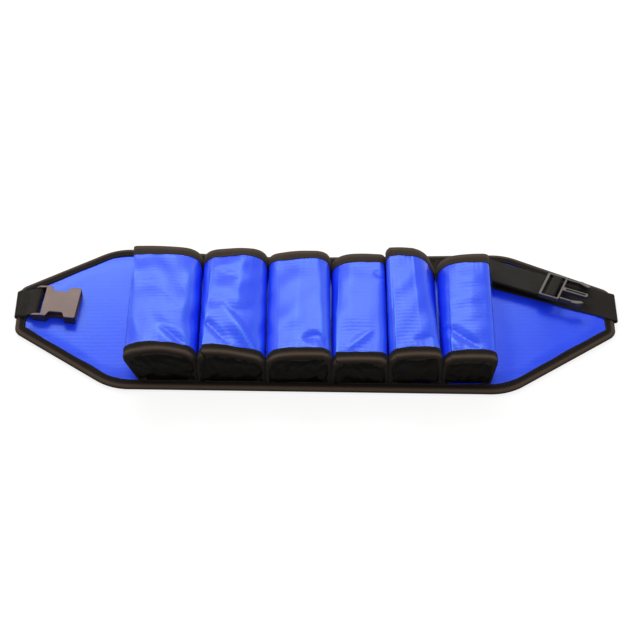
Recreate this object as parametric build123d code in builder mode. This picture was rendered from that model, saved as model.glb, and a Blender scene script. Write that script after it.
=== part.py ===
"""Dive weight belt: a padded panel with six arched weight pockets and a side-release buckle.

Millimetres. The belt lies on its back with its front up: Z = 0 is the face against the wearer, +Z
points away from the wearer, +X runs along the belt towards the plug end and +Y is the wearer's up.
Each end of the panel has a strap of webbing folded over onto the front. The left strap is a short
loop that holds the socket half of the buckle. The right strap doubles back on itself, and carries the
plug half on its upper run, threaded under the end bar, over the centre bar and back.
"""

import os
from collections import namedtuple
from math import atan2, cos, degrees, radians, sin

from build123d import *

# ---------------------------------------------------------------- driving dimensions

# Panel: an elongated hexagon with rounded corners, whose top edge dips behind the pockets
panel_half_length = 357.0
left_end_y = (-18.5, 49.5)  # lower and upper corner of the left end
right_end_y = (-24.5, 43.5)
left_taper_x = (-239.0, -244.0)  # where the lower and the upper edge start to close in to the left
right_taper_x = (224.0, 231.0)
lower_edge_y = (-104.5, -112.9)  # at the left and the right taper
upper_edge_y = (114.2, 103.5)
upper_dip = (-50.0, 99.0)
taper_radius = 70.0
dip_radius = 1200.0
end_radius = 16.0

# Plies and the tape that binds their edge
lining_thickness = 1.2
foam_thickness = 4.0
face_thickness = 1.2
tape_thickness = 0.8
tape_width = 12.0
ply_lap = 1.5  # how far a pinched ply runs in under the flat one

# Pockets, from left to right
first_seam_x = -207.0
base_setback = 3.0  # how far the base leans in from foot to crown
mouth_setback = 1.0
crown_rise = 3.0
shoulder_radius = 17.0
cloth_thickness = 1.2
pocket_tape_width = 11.0
neighbour_gap = 0.4  # between the tapes of two pockets side by side
Pocket = namedtuple(
    "Pocket", "width base_y base_heights mouth_y mouth_heights lean_left lean_right mouth_lean_right"
)
pockets = [  # heights are those of the left and the right shoulder
    Pocket(70.0, -92.5, (53.0, 50.0), 84.5, (34.0, 32.0), 19.0, 0.0, 0.0),
    Pocket(79.0, -94.5, (54.0, 43.0), 82.5, (31.0, 31.0), 0.0, 0.0, 0.0),
    Pocket(76.0, -96.5, (46.0, 50.0), 79.5, (25.0, 33.0), 0.0, 0.0, 0.0),
    Pocket(66.0, -97.5, (42.0, 42.5), 75.5, (26.0, 30.0), 0.0, 0.0, 0.0),
    Pocket(62.0, -97.5, (49.0, 51.0), 74.5, (43.0, 38.0), 0.0, 0.0, -14.0),
    Pocket(58.0, -97.5, (44.5, 45.0), 69.5, (31.0, 38.0), 0.0, 9.0, 8.0),
]

# Webbing and its folds
web_width = 40.0
web_thickness = 1.6
web_anchor_length = 60.0
clearance = 0.3  # between soft pieces that move apart
fold_overhang = 1.3  # from the panel's edge to the axis of a strap's fold

# Left strap and the socket half of the buckle
left_strap_y = 21.7
left_strap_angle = 6.4
bar_distance = 24.5  # from the fold's axis to the socket's bar
buckle_margin = 0.5  # how far the socket stands out past the plug's rails, each side
socket_length = 50.0
socket_half_thickness = 6.0
socket_plate = 2.7
socket_wall = 2.5
socket_back_start = 8.0
socket_back_thickness = 3.0
socket_fork_wall = 2.3
socket_rear_radius = 5.0
socket_corner_radius = 2.0
socket_edge_radius = 0.8
waist_depth = 7.0
waist_start = 14.5
waist_end = 36.5
waist_slope = 3.2
bar_radius = 2.1
slot_side_clearance = 0.5
guide_rib_thickness = 1.2
guide_rib_height = 1.5
guide_rib_setback = 2.0  # from the mouth of the socket

# Right strap: lower run on the panel, upper run above it with the plug half of the buckle
right_strap_y = 16.0
turn_share = 0.1307  # where the strap turns back, from the last pocket's seam to the panel's end
turn_y = 63.5
turn_height = 14.0  # middle of the upper run above the floor
upper_run_angle = 22.0
upper_run_roll = 11.5  # the wearer's lower edge stands higher
tail_overrun = 10.5  # how far the tail runs on past the turn
plug_share = 0.4374  # from the turn to the plug's centre bar, out of the same length
plug_lift = 4.0  # from the middle of the upper run to the middle of the plug
rail_width = 2.7
plug_bottom = -3.0
plug_top = 2.6
plug_corner_radius = 2.0
plug_chamfer = 0.6
end_bar_start = -12.8
end_bar_width = 3.4
centre_bar_half_width = 2.6
centre_bar_bottom = -1.4
centre_bar_top = 1.0
centre_bar_radius = 0.9
shoulder_start = 9.5
shoulder_end = 12.6
prong_length = 30.4
guide_half_width = 3.4
guide_half_thickness = 2.4
guide_end_radius = 2.2
guide_chamfer = 0.4
guide_side_clearance = 0.5
groove_half_width = 1.5
groove_depth = 1.6
latch_thickness = 2.6
latch_side_clearance = 0.3
latch_overlap = 1.7  # how far a latch head reaches past the socket's wall
latch_play = 0.4  # along the buckle, from a latched head to the wall that holds it
latch_root_radius = 1.25
latch_root_clearance = 0.1
latch_half_height = 3.0
latch_chamfer = 0.4
latch_head_radius = 1.2
latch_head_taper = 0.8
latch_tip_inset = 1.5
latch_heel_inset = 3.5
grip_radius = 0.45
grip_pitch = 1.9
bridge_radius = 1.9
bridge_tuck = 2.5  # flat length of the bridge where it meets the tail

# ---------------------------------------------------------------- derived sizes

panel_thickness = lining_thickness + foam_thickness + face_thickness
wing_length = panel_half_length - first_seam_x - sum(pocket.width for pocket in pockets)
turn_x = panel_half_length - (1 - turn_share) * wing_length
tail_end_x = turn_x - tail_overrun
plug_distance = plug_share * wing_length
plug_half_width = web_width / 2 + clearance + rail_width
buckle_half_width = plug_half_width + buckle_margin
waist_half_width = buckle_half_width - waist_depth
web_level = panel_thickness / 2  # middle of a web where it leaves the panel
flap_level = panel_thickness + clearance + web_thickness / 2
fold_level = (web_level + flap_level) / 2
fold_radius = (flap_level - web_level) / 2
fold_x = panel_half_length + fold_overhang
run_gap = clearance

os.makedirs("parts", exist_ok=True)


def write(part, name):
    """Label a finished piece and write it as its own STEP file."""
    part.label = name
    export_step(part, f"parts/{name}.step")


def side_plane(plane):
    """The plane seen from the side of a strap: x along the strap, y off its face."""
    return Plane(origin=plane.origin, x_dir=plane.x_dir, z_dir=-plane.y_dir)


# ---------------------------------------------------------------- panel

outline_corners = [  # and the radius that rounds each
    ((-panel_half_length, left_end_y[0]), end_radius),
    ((left_taper_x[0], lower_edge_y[0]), taper_radius),
    ((right_taper_x[0], lower_edge_y[1]), taper_radius),
    ((panel_half_length, right_end_y[0]), end_radius),
    ((panel_half_length, right_end_y[1]), end_radius),
    ((right_taper_x[1], upper_edge_y[1]), taper_radius),
    (upper_dip, dip_radius),
    ((left_taper_x[1], upper_edge_y[0]), taper_radius),
    ((-panel_half_length, left_end_y[1]), end_radius),
]
with BuildSketch() as outline:
    with BuildLine():
        Polyline(*[corner for corner, radius in outline_corners], close=True)
    make_face()
    for corner, radius in outline_corners:
        fillet(outline.vertices().sort_by_distance(corner)[0], radius)

with BuildSketch() as ply_edge:
    offset(outline.sketch, amount=-tape_thickness)

with BuildSketch() as field:
    offset(outline.sketch, amount=-tape_width)

with BuildSketch() as core:
    offset(outline.sketch, amount=-tape_width - ply_lap)

# Webs anchored between the plies, reaching out to the folds at both ends
left_plane = Plane(
    origin=(-fold_x, left_strap_y, 0),
    x_dir=(cos(radians(left_strap_angle)), -sin(radians(left_strap_angle)), 0),
    z_dir=(0, 0, 1),
)
lower_run_angle = degrees(atan2(turn_y - right_strap_y, fold_x - turn_x))
lower_plane = Plane(
    origin=(fold_x, right_strap_y, 0),
    x_dir=(-cos(radians(lower_run_angle)), sin(radians(lower_run_angle)), 0),
    z_dir=(0, 0, 1),
)


def anchor(side, centre_y, angle):
    """A web between the plies: the mirror of its flap in the fold line, cut off square to the end."""
    lead = web_width  # spare length that the cut at the fold takes off
    slope = Plane(
        origin=(side * fold_x, centre_y, web_level),
        x_dir=(-side * cos(radians(angle)), -sin(radians(angle)) * side, 0),
        z_dir=(0, 0, 1),
    )
    with BuildPart() as web:
        with BuildSketch(side_plane(slope)):
            with Locations(((web_anchor_length - lead) / 2, 0)):
                Rectangle(web_anchor_length + lead, web_thickness)
        extrude(amount=web_width / 2, both=True)
        split(bisect_by=Plane(origin=(side * fold_x, 0, 0), z_dir=(-side, 0, 0)))
    return web.part


left_web_anchor = anchor(-1, left_strap_y, left_strap_angle)
right_web_anchor = anchor(1, right_strap_y, lower_run_angle)

with BuildPart() as back_lining:
    with BuildSketch():
        add(field.sketch)
    extrude(amount=lining_thickness)
    with BuildSketch(Plane.XY.offset(tape_thickness)):
        add(ply_edge.sketch)
        add(core.sketch, mode=Mode.SUBTRACT)
    extrude(amount=lining_thickness)

with BuildPart() as foam_core:
    with BuildSketch(Plane.XY.offset(lining_thickness)):
        add(core.sketch)
    extrude(amount=foam_thickness)
    with BuildSketch(Plane.XY.offset(lining_thickness + tape_thickness)):
        add(ply_edge.sketch)
    extrude(amount=foam_thickness - 2 * tape_thickness)
    add([left_web_anchor, right_web_anchor], mode=Mode.SUBTRACT)

with BuildPart() as front_panel:
    with BuildSketch(Plane.XY.offset(panel_thickness - face_thickness)):
        add(field.sketch)
    extrude(amount=face_thickness)
    with BuildSketch(Plane.XY.offset(panel_thickness - face_thickness - tape_thickness)):
        add(ply_edge.sketch)
        add(core.sketch, mode=Mode.SUBTRACT)
    extrude(amount=face_thickness)

with BuildPart() as edge_binding:
    with BuildSketch():
        add(outline.sketch)
        add(field.sketch, mode=Mode.SUBTRACT)
    extrude(amount=panel_thickness)
    with BuildSketch(Plane.XY.offset(tape_thickness)):
        add(ply_edge.sketch)
    extrude(amount=panel_thickness - 2 * tape_thickness, mode=Mode.SUBTRACT)
    add([left_web_anchor, right_web_anchor], mode=Mode.SUBTRACT)

write(back_lining.part, "back_lining")
write(foam_core.part, "foam_core")
write(front_panel.part, "front_panel")
write(edge_binding.part, "edge_binding")
write(left_web_anchor, "left_web_anchor")
write(right_web_anchor, "right_web_anchor")

# ---------------------------------------------------------------- pockets


def arch_plane(y, setback, heights, outward):
    """The plane of a pocket's end: x along the belt, y up its leaning arch, moved outward."""
    step = outward if y > 0 else -outward
    return Plane(
        origin=(0, y + step, panel_thickness),
        x_dir=(1, 0, 0),
        z_dir=(0, -max(heights), setback),
    )


def arch(plane, left, right, heights, leans, grow, foot):
    """An arched face: straight sides that lean out, rounded shoulders and a slightly domed crown."""
    high_left, high_right = (height + grow - crown_rise for height in heights)
    low_left = (left - grow - leans[0] * foot / high_left, foot)
    low_right = (right + grow + leans[1] * foot / high_right, foot)
    top_left = (left - grow - leans[0], high_left)
    top_right = (right + grow + leans[1], high_right)
    middle = ((top_left[0] + top_right[0]) / 2, (high_left + high_right) / 2 + crown_rise)
    with BuildSketch(plane) as face:
        with BuildLine():
            Polyline(top_right, low_right, low_left, top_left)
            ThreePointArc(top_left, middle, top_right)
        make_face()
        fillet(face.vertices().sort_by(Axis.Y)[-2:], shoulder_radius + grow)
    return face.sketch.face()


def pocket_form(pocket, left, right, grow, foot=0.0, base_reach=0.0, mouth_reach=0.0):
    """The solid between a pocket's base and mouth arches, grown by grow."""
    base = arch(
        arch_plane(pocket.base_y, base_setback, pocket.base_heights, base_reach),
        left,
        right,
        pocket.base_heights,
        (pocket.lean_left, pocket.lean_right),
        grow,
        foot,
    )
    mouth = arch(
        arch_plane(pocket.mouth_y, mouth_setback, pocket.mouth_heights, mouth_reach),
        left,
        right,
        pocket.mouth_heights,
        (pocket.lean_left, pocket.mouth_lean_right),
        grow,
        foot,
    )
    with BuildPart() as form:
        loft([base, mouth], ruled=True)
    return form.part


def slab(plane, thickness):
    """A plate wide enough to pick out the end of a pocket, from the plane inward."""
    with BuildPart() as plate:
        with BuildSketch(plane):
            Rectangle(2 * panel_half_length, 2 * panel_half_length)
        extrude(amount=thickness)
    return plate.part


def make_pocket(number, pocket, left_seam):
    """Build a pocket's sleeve, base gusset and two tapes, and write each."""
    inset = tape_thickness + neighbour_gap / 2
    left = left_seam + inset
    right = left_seam + pocket.width - inset
    tape = tape_thickness
    below = -2 * cloth_thickness  # the inner form runs down past the foot, so that the sleeve is open
    outside = pocket_form(pocket, left, right, 0.0)
    inside = pocket_form(pocket, left, right, -cloth_thickness, below, cloth_thickness, cloth_thickness)
    lining = pocket_form(
        pocket, left, right, -cloth_thickness - tape, below, 4 * tape, 4 * tape
    )
    cover = pocket_form(pocket, left, right, tape, 0.0, cloth_thickness + tape, tape)
    base_plane = arch_plane(pocket.base_y, base_setback, pocket.base_heights, 0.0)
    mouth_plane = arch_plane(pocket.mouth_y, mouth_setback, pocket.mouth_heights, 0.0)
    leans = (pocket.lean_left, pocket.lean_right)

    with BuildPart() as sleeve:
        add(outside)
        add(inside, mode=Mode.SUBTRACT)

    with BuildPart() as gusset:
        extrude(
            arch(base_plane, left, right, pocket.base_heights, leans, 0.0, 0.0),
            amount=cloth_thickness,
        )

    with BuildPart() as base_binding:
        add(cover)
        add(slab(base_plane.offset(-pocket_tape_width), 2 * pocket_tape_width), mode=Mode.INTERSECT)
        add([outside, gusset.part], mode=Mode.SUBTRACT)
        face_tape = pocket_tape_width - cloth_thickness
        extrude(
            arch(base_plane, left, right, pocket.base_heights, leans, -face_tape, below),
            amount=pocket_tape_width,
            mode=Mode.SUBTRACT,
        )

    with BuildPart() as rim_binding:
        add(cover)
        add(slab(mouth_plane.offset(-2 * tape), pocket_tape_width + 2 * tape), mode=Mode.INTERSECT)
        add([lining, sleeve.part], mode=Mode.SUBTRACT)

    write(sleeve.part, f"pocket_{number}_sleeve")
    write(gusset.part, f"pocket_{number}_base_gusset")
    write(base_binding.part, f"pocket_{number}_base_binding")
    write(rim_binding.part, f"pocket_{number}_rim_binding")


seam = first_seam_x
for number, pocket in enumerate(pockets, start=1):
    make_pocket(number, pocket, seam)
    seam += pocket.width

# ---------------------------------------------------------------- left strap


def web_fold(side, centre_y, angle):
    """The half turn that a web makes over the panel's end."""
    with BuildPart() as fold:
        middle = Plane(origin=(side * fold_x, centre_y, fold_level), x_dir=(side, 0, 0), z_dir=(0, -side, 0))
        with BuildSketch(middle):
            Circle(fold_radius + web_thickness / 2)
            Circle(fold_radius - web_thickness / 2, mode=Mode.SUBTRACT)
            with Locations((-panel_thickness, 0)):
                Rectangle(2 * panel_thickness, 4 * panel_thickness, mode=Mode.SUBTRACT)
        extrude(amount=web_width / cos(radians(angle)) / 2, both=True)
    return fold.part


write(web_fold(-1, left_strap_y, left_strap_angle), "left_web_fold")
write(web_fold(1, right_strap_y, lower_run_angle), "right_web_fold")

bar_level = panel_thickness + clearance + socket_half_thickness
eye_radius = bar_radius + clearance

# The loop of web: two plies sewn together at the fold, opening into an eye round the socket's bar
with BuildPart() as left_web_loop:
    with BuildSketch(side_plane(left_plane)):
        with BuildLine():
            reach = web_width / 4
            CenterArc((bar_distance, bar_level), eye_radius + web_thickness, 0, 360)
            Polyline(
                (-reach, flap_level - web_thickness / 2),
                (reach, flap_level - web_thickness / 2),
                (reach, flap_level + 1.5 * web_thickness),
                (-reach, flap_level + 1.5 * web_thickness),
                close=True,
            )
        make_hull()
    extrude(amount=web_width / 2, both=True)
    with BuildSketch(side_plane(left_plane)):
        with BuildLine():
            CenterArc((bar_distance, bar_level), eye_radius, 0, 360)
            CenterArc((bar_distance / 2, flap_level + web_thickness), web_thickness / 4, 0, 360)
        make_hull()
    extrude(amount=web_width / 2, both=True, mode=Mode.SUBTRACT)
    split(bisect_by=Plane(origin=(clearance - fold_x, 0, 0), z_dir=(1, 0, 0)))

write(left_web_loop.part, "left_web_loop")

socket_plane = Plane(
    origin=left_plane.origin + left_plane.x_dir * bar_distance + Vector(0, 0, bar_level),
    x_dir=left_plane.x_dir,
    z_dir=(0, 0, 1),
)
fork_half_width = web_width / 2 + slot_side_clearance
socket_rear_half_width = fork_half_width + socket_fork_wall
cavity_half_width = buckle_half_width - socket_wall
cavity_half_height = socket_half_thickness - socket_plate

with BuildPart() as socket_buckle:
    with BuildSketch(socket_plane) as socket_outline:
        with BuildLine():
            waist = [
                (-socket_rear_radius, socket_rear_half_width),
                (waist_start, buckle_half_width),
                (waist_start + waist_slope, waist_half_width),
                (waist_end - waist_slope, waist_half_width),
                (waist_end, buckle_half_width),
                (socket_length, buckle_half_width),
            ]
            Polyline(*waist, *[(x, -y) for x, y in reversed(waist)], close=True)
        make_face()
        fillet(socket_outline.vertices(), socket_corner_radius)
    extrude(amount=socket_half_thickness, both=True)
    with BuildSketch(side_plane(socket_plane)):
        with BuildLine():
            CenterArc((0, 0), socket_rear_radius, 0, 360)
            Polyline(
                (socket_back_start, -socket_half_thickness),
                (socket_length, -socket_half_thickness),
                (socket_length, socket_half_thickness),
                (socket_back_start, socket_half_thickness),
                close=True,
            )
        make_hull()
    extrude(amount=2 * buckle_half_width, both=True, mode=Mode.INTERSECT)
    flat_levels = (bar_level - socket_half_thickness, bar_level + socket_half_thickness)
    edges = socket_buckle.edges()
    rims = [edge for edge in edges if min(abs(edge.center().Z - level) for level in flat_levels) < 0.01]
    fillet(rims, socket_edge_radius)
    with BuildSketch(socket_plane):
        with Locations((socket_back_start - 2 * socket_rear_radius, 0)):
            Rectangle(4 * socket_rear_radius, 2 * fork_half_width)
    extrude(amount=socket_half_thickness, both=True, mode=Mode.SUBTRACT)
    with BuildSketch(socket_plane):
        cavity_start = socket_back_start + socket_back_thickness
        with Locations(((cavity_start + 2 * socket_length) / 2, 0)):
            Rectangle(2 * socket_length - cavity_start, 2 * cavity_half_width)
    extrude(amount=cavity_half_height, both=True, mode=Mode.SUBTRACT)
    rib_y = guide_half_width + guide_side_clearance + guide_rib_thickness / 2
    rib_end = socket_length - guide_rib_setback
    for level in (-cavity_half_height, cavity_half_height - guide_rib_height):
        with BuildSketch(socket_plane.offset(level)):
            with Locations(*[((cavity_start + rib_end) / 2, side * rib_y) for side in (-1, 1)]):
                Rectangle(rib_end - cavity_start, guide_rib_thickness)
        extrude(amount=guide_rib_height)
    with BuildSketch(side_plane(socket_plane)):
        Circle(bar_radius)
    extrude(amount=fork_half_width + bar_radius / 2, both=True)

write(socket_buckle.part, "socket_buckle")

# ---------------------------------------------------------------- right strap

turn_length = (Vector(turn_x, turn_y) - Vector(fold_x, right_strap_y)).length
turn_angle = (lower_run_angle + upper_run_angle) / 2
along = radians(upper_run_angle)
roll = radians(upper_run_roll)
upper_plane = Plane(
    origin=(turn_x, turn_y, turn_height),
    x_dir=(cos(along), -sin(along), 0),
    z_dir=(sin(along) * sin(roll), cos(along) * sin(roll), cos(roll)),
)
turn_line = Vector(sin(radians(turn_angle)), cos(radians(turn_angle)), 0)
turn_out = Vector(-cos(radians(turn_angle)), sin(radians(turn_angle)), 0)
turn_cut = Plane(origin=(turn_x, turn_y, 0), z_dir=-turn_out)

with BuildPart() as right_web_lower:
    with BuildSketch(side_plane(lower_plane)):
        with Locations((turn_length / 2, flap_level)):
            Rectangle(turn_length + web_width, web_thickness)
    extrude(amount=web_width / 2, both=True)
    split(bisect_by=Plane(origin=(fold_x - clearance, 0, 0), z_dir=(-1, 0, 0)))
    split(bisect_by=turn_cut.offset(clearance))

with BuildPart() as right_web_turn:
    halves = []
    for edge in (-1, 1):
        upper_level = turn_height - edge * sin(roll) * web_width / 2
        middle = (upper_level + flap_level) / 2
        radius = (upper_level - flap_level) / 2
        start = Vector(turn_x, turn_y, middle) + turn_line * (edge * web_width / 2)
        with BuildSketch(Plane(origin=start, x_dir=turn_out, z_dir=turn_line)) as half:
            Circle(radius + web_thickness / 2)
            Circle(radius - web_thickness / 2, mode=Mode.SUBTRACT)
            with Locations((-turn_height, 0)):
                Rectangle(2 * turn_height, 4 * turn_height, mode=Mode.SUBTRACT)
        halves.append(half.sketch.face())
    loft(halves, ruled=True)

plug_plane = Plane(
    origin=upper_plane.origin + upper_plane.x_dir * plug_distance + upper_plane.z_dir * plug_lift,
    x_dir=upper_plane.x_dir,
    z_dir=upper_plane.z_dir,
)
tail_level = -plug_lift + web_thickness + run_gap
bridge_start = 1.5
bridge_side = (centre_bar_half_width + shoulder_start) / 2 - 1.0
bridge_end = -bridge_side - bridge_tuck
bridge_top = centre_bar_top + clearance + web_thickness / 2

with BuildPart() as right_web_upper:
    with BuildSketch(side_plane(plug_plane)):
        start = -plug_distance - web_width / 2
        with Locations(((start + bridge_start - clearance) / 2, -plug_lift)):
            Rectangle(bridge_start - clearance - start, web_thickness)
    extrude(amount=web_width / 2, both=True)
    split(bisect_by=turn_cut.offset(clearance))

with BuildPart() as right_web_bridge:
    with BuildSketch(side_plane(plug_plane)):
        with BuildLine() as bridge_line:
            FilletPolyline(
                (bridge_start, -plug_lift),
                (bridge_side, -plug_lift),
                (bridge_side, bridge_top),
                (-bridge_side, bridge_top),
                (-bridge_side, tail_level),
                (bridge_end, tail_level),
                radius=bridge_radius,
            )
        trace(line_width=web_thickness)
    extrude(amount=web_width / 2, both=True)

with BuildPart() as right_web_tail:
    with BuildSketch(side_plane(plug_plane)):
        far = 2 * plug_distance
        with Locations((bridge_end - clearance - far / 2, tail_level)):
            Rectangle(far, web_thickness)
    extrude(amount=web_width / 2, both=True)
    split(bisect_by=Plane(origin=(tail_end_x, 0, 0), z_dir=(1, 0, 0)))

write(right_web_lower.part, "right_web_lower")
write(right_web_turn.part, "right_web_turn")
write(right_web_upper.part, "right_web_upper")
write(right_web_bridge.part, "right_web_bridge")
write(right_web_tail.part, "right_web_tail")

# ---------------------------------------------------------------- plug half of the buckle

latch_outer = cavity_half_width - latch_side_clearance
latch_middle = latch_outer - latch_thickness / 2
latch_root_x = shoulder_end + latch_root_radius * 0.8
tip_x = shoulder_end + prong_length
wall_share = socket_wall / (buckle_half_width - waist_half_width)
catch_x = waist_end - waist_slope * wall_share  # where the socket's side walls end at the waist
head_x = shoulder_end + socket_length - catch_x + latch_play
head_length = tip_x - head_x


def plate(plane, x_start, x_end, y_start, y_end, bottom, top, corner=0.0):
    """A rectangular bar of the plug, given by its limits in the plug's own plane."""
    with BuildPart() as bar:
        with BuildSketch(plane.offset(bottom)) as face:
            with Locations(((x_start + x_end) / 2, (y_start + y_end) / 2)):
                Rectangle(x_end - x_start, y_end - y_start)
            if corner:
                fillet(face.vertices(), corner)
        extrude(amount=top - bottom)
    return bar.part


def flat_faces(part, plane):
    """The faces of a part that lie parallel to a plane."""
    return part.faces().filter_by(Axis(plane.origin, plane.z_dir))


with BuildPart() as plug_guide:
    with BuildSketch(plug_plane.offset(-guide_half_thickness)) as guide:
        with Locations(((shoulder_start + tip_x) / 2, 0)):
            Rectangle(tip_x - shoulder_start, 2 * guide_half_width)
        fillet(guide.vertices().group_by(Axis.X)[-1], guide_end_radius)
    extrude(amount=2 * guide_half_thickness)
    with BuildSketch(plug_plane.offset(guide_half_thickness - groove_depth)):
        with Locations(((shoulder_end + tip_x) / 2, 0)):
            SlotOverall(tip_x - shoulder_end - 4 * groove_half_width, 2 * groove_half_width)
    extrude(amount=groove_depth, mode=Mode.SUBTRACT)
    broad = flat_faces(plug_guide, plug_plane).sort_by(SortBy.AREA)[-2:]
    chamfer([edge for face in broad for edge in face.edges()], guide_chamfer)

with BuildPart() as plug_frame:
    rail_inner = plug_half_width - rail_width
    add(
        plate(
            plug_plane, end_bar_start, shoulder_end, -plug_half_width, plug_half_width,
            plug_bottom, plug_top, corner=plug_corner_radius,
        )
    )
    add(
        plate(
            plug_plane, end_bar_start + end_bar_width, shoulder_start, -rail_inner, rail_inner,
            plug_bottom, plug_top,
        ),
        mode=Mode.SUBTRACT,
    )
    chamfer([edge for face in flat_faces(plug_frame, plug_plane) for edge in face.edges()], plug_chamfer)
    end_bar_bottom = tail_level + web_thickness / 2 + clearance
    add(
        plate(
            plug_plane, end_bar_start - 1, end_bar_start + end_bar_width, -rail_inner, rail_inner,
            2 * plug_bottom, end_bar_bottom,
        ),
        mode=Mode.SUBTRACT,
    )
    with BuildSketch(side_plane(plug_plane)) as centre_bar:
        with Locations((0, (centre_bar_top + centre_bar_bottom) / 2)):
            Rectangle(2 * centre_bar_half_width, centre_bar_top - centre_bar_bottom)
        fillet(centre_bar.vertices(), centre_bar_radius)
    extrude(amount=rail_inner + rail_width / 2, both=True)
    add(plug_guide)
    with BuildSketch(plug_plane.offset(plug_bottom)):
        with Locations((latch_root_x, latch_middle), (latch_root_x, -latch_middle)):
            Circle(latch_root_radius + latch_root_clearance)
    extrude(amount=plug_top - plug_bottom, mode=Mode.SUBTRACT)

write(plug_frame.part, "plug_frame")


def latch(side):
    """A springy prong with a hooked head, hinged at a round root in the shoulder."""
    inner = latch_outer - latch_thickness
    head_outer = cavity_half_width + latch_overlap
    cheek_x = head_x + 0.45 * head_length
    with BuildPart() as prong:
        with BuildSketch(plug_plane.offset(-latch_half_height)) as shape:
            with BuildLine():
                points = [
                    (latch_root_x, inner),
                    (latch_root_x, latch_outer),
                    (head_x, latch_outer),
                    (head_x, head_outer),
                    (cheek_x, head_outer - latch_head_taper),
                    (tip_x, inner - latch_tip_inset),
                    (tip_x - 0.3 * head_length, inner - latch_heel_inset),
                    (head_x, inner),
                ]
                Polyline(*[(x, side * y) for x, y in points], close=True)
            make_face()
            heads = [v for v in shape.vertices() if v.X > head_x + 1]
            fillet(heads, latch_head_radius)
            with Locations((latch_root_x, side * latch_middle)):
                Circle(latch_root_radius)
        extrude(amount=2 * latch_half_height)
        chamfer([edge for face in flat_faces(prong, plug_plane) for edge in face.edges()], latch_chamfer)
        with BuildSketch(plug_plane.offset(-2 * latch_half_height)):
            grips = [head_x + grip_pitch * (0.75 + step) for step in range(3)]
            taper = latch_head_taper / (cheek_x - head_x)
            with Locations(*[(x, side * (head_outer - taper * (x - head_x))) for x in grips]):
                Circle(grip_radius)
        extrude(amount=4 * latch_half_height, mode=Mode.SUBTRACT)
    return prong.part


write(latch(-1), "near_latch")
write(latch(1), "far_latch")
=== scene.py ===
# %% [markdown]
# # A dive weight belt
# A padded panel carries six arched pockets for lead weights. Each end of the panel has a strap of
# webbing, and the two halves of a side-release buckle ride on the straps. The CAD frame says where
# every part is and how it moves. This notebook adds what the CAD leaves out: cloth with creases,
# tape, webbing, thread and the finish of the moulded plastic.

import bpy
import numpy as np
from math import atan2, cos, hypot, pi, radians, sin, tan
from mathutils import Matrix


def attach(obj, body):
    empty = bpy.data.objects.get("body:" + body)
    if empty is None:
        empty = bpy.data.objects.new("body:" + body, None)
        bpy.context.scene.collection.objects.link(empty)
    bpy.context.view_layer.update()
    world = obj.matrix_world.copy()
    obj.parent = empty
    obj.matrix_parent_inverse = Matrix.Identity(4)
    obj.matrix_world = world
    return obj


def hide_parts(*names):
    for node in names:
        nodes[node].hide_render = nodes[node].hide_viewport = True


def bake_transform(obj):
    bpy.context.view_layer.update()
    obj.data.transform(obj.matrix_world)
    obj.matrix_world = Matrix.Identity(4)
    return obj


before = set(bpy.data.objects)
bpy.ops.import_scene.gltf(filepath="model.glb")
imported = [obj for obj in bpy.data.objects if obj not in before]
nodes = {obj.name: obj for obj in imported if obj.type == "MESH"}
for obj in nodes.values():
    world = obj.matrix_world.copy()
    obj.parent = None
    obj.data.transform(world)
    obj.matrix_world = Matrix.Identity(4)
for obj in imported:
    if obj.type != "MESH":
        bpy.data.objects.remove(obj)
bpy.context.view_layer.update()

# %% [markdown]
# ## The camera, the floor and the light
# The belt lies on a pale table and is seen from the front at 50 degrees above the table, with a
# long lens. A wide soft lamp hangs behind and above it. From there it shines back off every surface
# that faces up, so the tops of the pockets glow and their sides stay deep blue. The rest of the
# light is an even grey-white sky, which keeps the shadows open.

# %% Camera
scene = bpy.context.scene
scene.view_settings.view_transform = "Standard"

camera_data = bpy.data.cameras.new("camera")
camera_data.lens, camera_data.sensor_width = 103.8, 36.0
camera = bpy.data.objects.new("camera", camera_data)
scene.collection.objects.link(camera)
camera_rise, camera_distance, aim_x, aim_y = radians(50.0), 2.215, 0.005, 0.0025
camera.location = (aim_x, aim_y - camera_distance * cos(camera_rise), camera_distance * sin(camera_rise))
camera.rotation_euler = (pi / 2 - camera_rise, 0, 0)
scene.camera = camera
print("camera", camera_data.lens, "mm at", [round(value, 3) for value in camera.location])


# %% [markdown]
# ## Node helpers
# A material is a small network of nodes. A few helpers keep the cells short: they link or set a
# socket, add a node with its inputs, and add a Math node for a single sum. A look that several
# materials share is built once, as a node group with named inputs.

# %% Node helpers
def srgb(red, green, blue):
    """A colour from 0 to 255 as linear light: each value v becomes ((v/255 + 0.055) / 1.055) ^ 2.4."""
    value = np.array([red, green, blue]) / 255
    linear = np.where(value > 0.04045, ((value + 0.055) / 1.055) ** 2.4, value / 12.92)
    return (*linear.tolist(), 1.0)


def wire(tree, value, socket):
    """Link another node's output to a socket, or set the socket to a plain number or colour."""
    if isinstance(value, bpy.types.NodeSocket):
        tree.links.new(value, socket)
    else:
        socket.default_value = value


def add_node(tree, kind, inputs=(), **settings):
    """Add a shader node, set its options, and fill its inputs by name or number."""
    node = tree.nodes.new("ShaderNode" + kind)
    for option, value in settings.items():
        setattr(node, option, value)
    for socket, value in dict(inputs).items():
        wire(tree, value, node.inputs[socket])
    return node


def reckon(tree, operation, *values):
    """One Math node on up to three values; gives its result."""
    return add_node(tree, "Math", enumerate(values), operation=operation).outputs[0]


def blend_colours(tree, share, first, second):
    """first where share is 0, second where it is 1."""
    return add_node(tree, "Mix", {0: share, 6: first, 7: second}, data_type="RGBA").outputs[2]


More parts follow.
